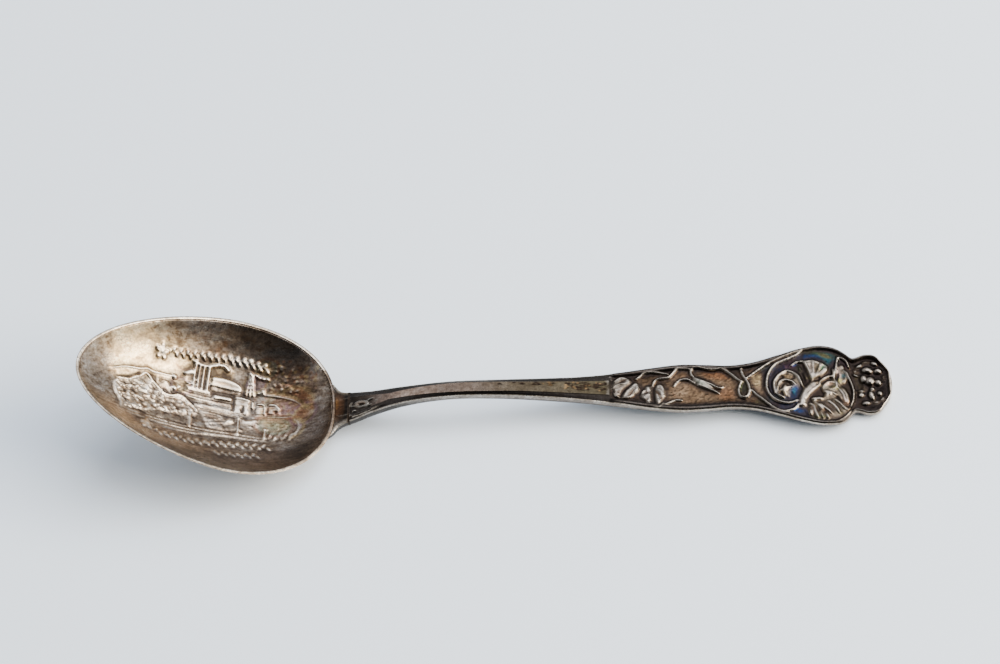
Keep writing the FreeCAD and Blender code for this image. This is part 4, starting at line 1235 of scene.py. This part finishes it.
def side_light_and_shade(stations, fall):
    """Painted light and shade on the handle's sides: a painted highlight along the top edge over a
    painted-shade underside, the shade creeping up near the bowl.
    """
    middle = np.interp(stations, [44, 53, 60, 68, 136, 139], [0.035, 0.060, 0.26, 0.32, 0.36, 0.75])
    lower = np.interp(stations, [44, 58, 66, 72, 120, 136, 139], [0.025, 0.06, 0.26, 0.14, 0.10, 0.14, 0.60])
    edge = np.interp(stations, [44, 50, 60, 70], [0.20, 0.30, 0.40, 0.36])
    share = np.interp(fall, [0.0, 0.08, 0.20, 0.50, 0.62], [0, 0, 1, 1, 2])[None, :]
    level = np.where(
        share < 1,
        edge[:, None] * (1 - share) + middle[:, None] * share,
        middle[:, None] * (2 - share) + lower[:, None] * (share - 1),
    )
    return level[..., None] * np.array((1.0, 0.90, 0.80))


def bar_surface(stations, across_count, back_count, swell=0.0):
    """Rings of the handle's bar: a worked top and plain sides and back.

    Returns the top's points, the back's points, the fine relief, the tones of the top, and the painted light
    and shade of the back.
    """
    whole = stations[-1] > STEM_START
    width = handle_half_width(stations) + swell
    near = width + NEAR_BULGE * np.exp(-((stations - BULGE_STATION) / BULGE_REACH) ** 2)
    part = spread(-1, 1, across_count, lambda v: 1 + 0.25 / np.sqrt(1.03 - np.abs(v)))[None, :]
    s = stations[:, None] + 0 * part
    reach = np.where(part < 0, near[:, None], width[:, None])
    y = reach * part
    relief = Relief(s, y, GREY, HANDLE_SEED)
    inner, deep = mouldings(relief, reach.ravel())
    border = relief.tone.copy()
    handle_tone(relief, deep)
    if whole:
        worn_patches(relief)
    relief.tone = border * (1 - inner[:, None]) + relief.tone * inner[:, None]
    edge = (reach - np.abs(y)).ravel()
    if stations[0] < SEAM_STATION:
        # heat stains beside the seam, and a painted highlight along the edge
        scorch, glow = (0.125, 0.066, 0.038), (0.26, 0.13, 0.045)
        relief.paint((42.4, 0.4), 3.6, 6.6, 0, scorch, 0.9)
        relief.paint((42.2, 0.8), 1.2, 3.0, 0, glow, 0.6)
        relief.paint((44.2, 0.0), 1.3, 12.0, 0, BLACK, 0.8)
        lit = np.clip(1 - edge / 0.75, 0, 1)[:, None] * 0.9
        relief.tone = relief.tone * (1 - lit) + 0.8 * np.array(SILVER) * lit
    if whole:
        relief.coat = WORN_WIRE
        neck_leaf(relief)
        folded_leaves(relief)
        vines(relief)
        relief.coat = WORN_FLOWER
        rosette(relief)
        flower(relief)
        relief.coat = DARK_BERRIES
        berries(relief)
        relief.grain(0.06, inner * (relief.x > PANEL_START + 0.5))
    relief.h = np.where(edge < 0.4, np.minimum(relief.h, TALLEST_AT_EDGE), relief.h)
    plain = (1 - inner).reshape(s.shape)
    raised = blurred(relief.grid(), 1)
    raised = raised * np.clip(width, 0.05, 1)[:, None] + swell
    level = handle_top(stations)[:, None]
    top = np.stack([s, y, level + raised], -1)
    turn = np.linspace(0, math.pi, back_count + 2)[1:-1]
    side = np.sign(np.cos(turn)) * np.abs(np.cos(turn)) ** 0.20
    fall = np.sin(turn) ** 0.95
    start_z = level - UPRIGHT
    depth = np.maximum(handle_thickness(stations)[:, None] - UPRIGHT + swell, 0.05)
    back_y = -np.where(side[None, :] > 0, near[:, None], width[:, None]) * side[None, :]
    back = np.stack([stations[:, None] + 0 * back_y, back_y, start_z - depth * fall[None, :]], -1)[:, ::-1]
    back[..., 2] = np.maximum(back[..., 2], CLEARANCE)
    detail = (blurred(raised, 1) - blurred(raised, 5)) * (1 - 0.75 * plain)
    return top, back, detail, relief.tone.reshape(s.shape + (3,)), side_light_and_shade(stations, fall)[:, ::-1]


def wall_middle(stations, y):
    """Height of the middle of the bowl's wall at each station for one distance across."""
    u = np.linspace(0.0, 12.0, 500)
    outer = bowl_half_width(u)
    inner = np.maximum(bowl_half_width(u, RIM_LAND), 1e-6)
    low = bowl_outside(u, np.clip(abs(y) / np.maximum(outer, 1e-6), 0, 1))
    high = bowl_inside(u, np.clip(abs(y) / inner, 0, 1))
    middle = bowl_to_world(u, 0 * u + y, (low + high) / 2)
    under = outer > abs(y)
    order = np.argsort(middle[under][:, 0])
    return np.interp(stations, middle[under][order, 0], middle[under][order, 2], right=99.0)


def add_bar(shell, stations, across_count, back_count, under_bowl=False, swell=0.0, tone=None):
    """Adds a closed stretch of the handle's bar; under the bowl it stays inside the bowl's wall."""
    top, back, detail, tones, back_shading = bar_surface(stations, across_count, back_count, swell)
    if under_bowl:
        for part in (top, back):
            for k in range(part.shape[1]):
                limit = wall_middle(stations, float(part[:, k, 1].mean()))
                part[:, k, 2] = np.minimum(part[:, k, 2], np.maximum(limit, 0.4))
    if tone is not None:
        tones = np.broadcast_to(np.array(tone), tones.shape)
    front = shell.add(top, high=detail, tone=tones)
    rear = shell.add(back, tone=back_shading if tone is None else tone)
    index = np.concatenate([front, rear], 1)
    shell.faces += grid_faces(np.concatenate([index, index[:, :1]], 1), flip=True)
    cross = np.concatenate([top, back], 1)
    shell.cap(index[0], cross[0].mean(0), False)
    shell.cap(index[-1], cross[-1].mean(0), True)


def make_handle():
    """The handle, with rows packed closer where the stem is pitted and where the relief is."""
    pits_start = 70
    relief_start = 90
    tiny = 0.004
    stations = np.concatenate([
        np.linspace(SEAM_STATION + SEAM_WIDTH, STEM_START, 34)[:-1],
        np.linspace(STEM_START, pits_start, 32)[:-1],
        np.linspace(pits_start, relief_start, 110)[:-1],
        spread(relief_start, LENGTH - tiny, 440, lambda s: 1 + 0.6 / np.sqrt(LENGTH + tiny - s)),
    ])
    shell = Shell()
    add_bar(shell, stations, HANDLE_COLUMNS, HANDLE_BACK_COLUMNS)
    return shell.piece("ornamental_handle")


def make_seam():
    """Thin bead of solder round the joint, standing slightly proud of both parts."""
    overlap = 0.06
    proud = 0.03
    burnt = (0.040, 0.030, 0.023)
    stations = np.linspace(SEAM_STATION - overlap, SEAM_STATION + SEAM_WIDTH + overlap, SEAM_ROWS)
    shell = Shell()
    add_bar(shell, stations, STUB_COLUMNS, SEAM_BACK_COLUMNS, swell=proud, tone=burnt)
    return shell.piece("solder_bead")


# ---------------------------------------------------------------- materials
def node(tree, kind, inputs=None, **settings):
    """Adds a node; an input given as a socket is linked, anything else is set."""
    new = tree.nodes.new(kind)
    for key, value in settings.items():
        setattr(new, key, value)
    for key, value in (inputs or {}).items():
        if isinstance(value, bpy.types.NodeSocket):
            tree.links.new(value, new.inputs[key])
        else:
            new.inputs[key].default_value = value
    return new


def ramp(tree, fac, stops):
    """Colour ramp through (place, colour) stops."""
    new = node(tree, "ShaderNodeValToRGB", {"Fac": fac})
    elements = new.color_ramp.elements
    while len(elements) < len(stops):
        elements.new(0.5)
    for element, (place, colour) in zip(elements, stops):
        element.position = place
        element.color = (*colour, 1)
    return new.outputs["Color"]


def limits(tree, value, low, high, to_low, to_high):
    """Maps the range low to high onto to_low to to_high, and stops at both ends."""
    ranges = {"Value": value, "From Min": low, "From Max": high, "To Min": to_low, "To Max": to_high}
    return node(tree, "ShaderNodeMapRange", ranges).outputs["Result"]


def mixed(tree, fac, first, second, blend="MIX"):
    """Mix of two colours, each a socket or a plain colour."""
    new = node(tree, "ShaderNodeMix", {"Factor": fac}, data_type="RGBA", blend_type=blend)
    for socket, value in ((new.inputs[6], first), (new.inputs[7], second)):
        if isinstance(value, bpy.types.NodeSocket):
            tree.links.new(value, socket)
        else:
            socket.default_value = (*value, 1)
    return new.outputs[2]


def maths(tree, operation, a, b):
    return node(tree, "ShaderNodeMath", {0: a, 1: b}, operation=operation).outputs[0]


def noise(tree, vector, scale, detail, roughness=0.5):
    return node(tree, "ShaderNodeTexNoise", {
        "Vector": vector, "Scale": scale, "Detail": detail, "Roughness": roughness}).outputs["Fac"]


# Tones that clouds and flecks of tarnish multiply the metal's own tone by, from dark to rubbed bright
CLOUD_TONES = (
    (0.38, (0.30, 0.25, 0.22)), (0.47, (0.72, 0.62, 0.50)), (0.54, (0.96, 0.90, 0.84)),
    (0.64, (1.15, 1.15, 1.12)),
)
FLECK_TONES = (
    (0.40, (0.36, 0.28, 0.23)), (0.48, (0.84, 0.79, 0.74)), (0.56, (1.0, 1.0, 1.0)),
    (0.66, (1.35, 1.32, 1.28)),
)
HOLLOW_TONE = (0.018, 0.013, 0.011)


def tarnished(name, soot, mottling, stretch, dull, worn, rubbed):
    """Silver with tarnish: black in the hollows, bright on what stands proud, mottled between.

    soot and rubbed say how strong the dark and the bright are, and stretch gives the mottling its direction.
    """
    material = bpy.data.materials.new(name)
    material.use_nodes = True
    tree = material.node_tree
    shader = tree.nodes["Principled BSDF"]
    shader.inputs["Metallic"].default_value = 1.0
    place = node(tree, "ShaderNodeTexCoord").outputs["Object"]
    scaled = node(tree, "ShaderNodeVectorMath", {0: place, "Scale": 1 / MM}, operation="SCALE").outputs[0]
    drawn = node(tree, "ShaderNodeMapping", {"Vector": scaled, "Scale": stretch}).outputs[0]
    tone = node(tree, "ShaderNodeAttribute", attribute_name="tone").outputs["Color"]
    high = node(tree, "ShaderNodeAttribute", attribute_name="high").outputs["Fac"]
    cloud = noise(tree, drawn, 0.28, 7.0, 0.72)
    fine = noise(tree, scaled, 2.6, 5.0, 0.6)
    hair = noise(tree, drawn, 5.5, 3.0)
    flecks = noise(tree, drawn, 1.15, 8.0, 0.68)
    base = mixed(tree, mottling, tone, ramp(tree, cloud, CLOUD_TONES), "MULTIPLY")
    # flecks show most where the tone is neither very dark nor very bright
    level = node(tree, "ShaderNodeRGBToBW", {"Color": tone}).outputs[0]
    not_dark = limits(tree, level, 0.06, 0.32, 0.25, 1.0)
    not_bright = limits(tree, level, 0.45, 0.75, 1.0, 0.45)
    amount = maths(tree, "MULTIPLY", maths(tree, "MULTIPLY", not_dark, not_bright), mottling)
    base = mixed(tree, amount, base, ramp(tree, flecks, FLECK_TONES), "MULTIPLY")
    speckle = limits(tree, fine, 0.36, 0.62, 0.75, 1.15)
    channels = {"Red": speckle, "Green": speckle, "Blue": speckle}
    base = mixed(tree, 1.0, base, node(tree, "ShaderNodeCombineColor", channels).outputs[0], "MULTIPLY")
    # the relief's height, made a little ragged, picks out hollows and proud places
    ragged = maths(tree, "ADD", high, maths(tree, "MULTIPLY", maths(tree, "SUBTRACT", fine, 0.5), 0.05))
    hollow = limits(tree, ragged, -0.09, 0.01, soot, 0.0)
    base = mixed(tree, hollow, base, HOLLOW_TONE)
    proud = limits(tree, ragged, 0.025, 0.12, 0.0, rubbed)
    base = mixed(tree, proud, base, worn)
    tree.links.new(base, shader.inputs["Base Color"])
    rough = maths(
        tree, "ADD", limits(tree, cloud, 0.35, 0.65, dull + 0.14, dull),
        maths(tree, "MULTIPLY", hollow, 0.2),
    )
    tree.links.new(rough, shader.inputs["Roughness"])
    scratches = maths(tree, "ADD", hair, fine)
    bump = node(tree, "ShaderNodeBump", {"Height": scratches, "Strength": 0.22, "Distance": 0.06 * MM})
    tree.links.new(bump.outputs["Normal"], shader.inputs["Normal"])
    return material


bowl = make_bowl()
bowl.data.materials.append(tarnished(
    "bowl_silver", soot=0.9, mottling=0.85, stretch=(0.6, 1.4, 1.0), dull=0.22, worn=(0.72, 0.615, 0.485),
    rubbed=0.85,
))
handle = make_handle()
handle.data.materials.append(tarnished(
    "handle_silver", soot=0.85, mottling=0.5, stretch=(0.9, 1.1, 1.0), dull=0.20, worn=(0.29, 0.25, 0.205),
    rubbed=0.6,
))
seam = make_seam()
seam.data.materials.append(tarnished(
    "solder", soot=0.7, mottling=0.9, stretch=(1.0, 1.0, 1.0), dull=0.40, worn=(0.30, 0.20, 0.12),
    rubbed=0.85,
))
for piece, name, slot in (
    (bowl, "bowl", "struck_bowl_silver"),
    (handle, "handle", "die_struck_handle_silver"),
    (seam, "solder_seam", "hard_solder"),
):
    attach(piece, "root")
    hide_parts(name)

# ---------------------------------------------------------------- floor, light and camera
FLOOR_HALF = 4.0          # metres from the middle to each side
FLOOR_COLOUR = (0.885, 0.95, 1.0, 1)
SKY_COLOUR = (0.88, 0.955, 1.08, 1)
DARK_SIDE = (0.0, -0.80, 0.60)      # the sky is dark in this direction, on the camera's side
WARM = (1.0, 0.95, 0.87)
COOL = (0.91, 0.97, 1.08)

CAMERA_PLACE = Vector((111.62 + TIP_X, -240.86, 391.18)) * MM
CAMERA_AZIMUTH = -8.96    # degrees from +Y towards +X
CAMERA_ELEVATION = 56.35  # degrees that it looks down
CAMERA_ROLL = -10.8
CAMERA_LENS = 93.6
CAMERA_SENSOR = 36.0


def make_floor():
    """Plain pale floor under the spoon."""
    corners = [(x * FLOOR_HALF, y * FLOOR_HALF, 0) for x, y in ((-1, -1), (1, -1), (1, 1), (-1, 1))]
    mesh = bpy.data.meshes.new("floor")
    mesh.from_pydata(corners, [], [(0, 1, 2, 3)])
    floor = bpy.data.objects.new("floor", mesh)
    bpy.context.scene.collection.objects.link(floor)
    paint = bpy.data.materials.new("floor")
    paint.use_nodes = True
    shader = paint.node_tree.nodes["Principled BSDF"]
    shader.inputs["Base Color"].default_value = FLOOR_COLOUR
    shader.inputs["Roughness"].default_value = 0.8
    mesh.materials.append(paint)


def make_sky():
    """Soft studio surroundings, brighter overhead and dark on the camera's side."""
    world = bpy.data.worlds.new("studio")
    bpy.context.scene.world = world
    world.use_nodes = True
    sky = world.node_tree
    toward = node(sky, "ShaderNodeTexCoord").outputs["Generated"]
    height = node(sky, "ShaderNodeSeparateXYZ", {"Vector": toward}).outputs["Z"]
    facing = node(sky, "ShaderNodeVectorMath", {0: toward, 1: DARK_SIDE}, operation="DOT_PRODUCT")
    behind = facing.outputs["Value"]
    overhead = limits(sky, height, -0.1, 0.8, 0.55, 1.25)
    shade = limits(sky, behind, 0.42, 0.88, 1.0, 0.06)
    background = sky.nodes["Background"]
    background.inputs["Color"].default_value = SKY_COLOUR
    sky.links.new(maths(sky, "MULTIPLY", overhead, shade), background.inputs["Strength"])


def direction(azimuth, elevation):
    """Unit vector for an azimuth from +Y towards +X and an elevation, both in degrees."""
    az, el = math.radians(azimuth), math.radians(elevation)
    return Vector((math.sin(az) * math.cos(el), math.cos(az) * math.cos(el), math.sin(el)))


def area_light(name, azimuth, elevation, distance, size, power, colour):
    """Soft light aimed at the spoon from a direction and a distance in metres."""
    lamp = bpy.data.lights.new(name, "AREA")
    lamp.shape = "RECTANGLE"
    lamp.size, lamp.size_y = size
    lamp.energy = power
    lamp.color = colour
    holder = bpy.data.objects.new(name, lamp)
    bpy.context.scene.collection.objects.link(holder)
    way = direction(azimuth, elevation)
    holder.location = way * distance
    holder.rotation_euler = way.to_track_quat("Z", "Y").to_euler()


def make_camera():
    """Camera where the photograph was taken from."""
    eye = bpy.data.cameras.new("camera")
    eye.sensor_width = CAMERA_SENSOR
    eye.lens = CAMERA_LENS
    camera = bpy.data.objects.new("camera", eye)
    bpy.context.scene.collection.objects.link(camera)
    roll = math.radians(CAMERA_ROLL)
    look = direction(CAMERA_AZIMUTH, -CAMERA_ELEVATION)
    level = look.cross(Vector((0, 0, 1))).normalized()
    upright = level.cross(look)
    right = level * math.cos(roll) + upright * math.sin(roll)
    up = right.cross(look)
    turn = Matrix((right, up, -look)).transposed()
    camera.matrix_world = Matrix.Translation(CAMERA_PLACE) @ turn.to_4x4()
    bpy.context.scene.camera = camera


make_floor()
make_sky()
area_light("window", azimuth=94, elevation=33, distance=1.0, size=(0.80, 0.66), power=22, colour=WARM)
area_light("overhead", azimuth=42, elevation=64, distance=1.1, size=(0.8, 0.8), power=9.5, colour=COOL)
make_camera()
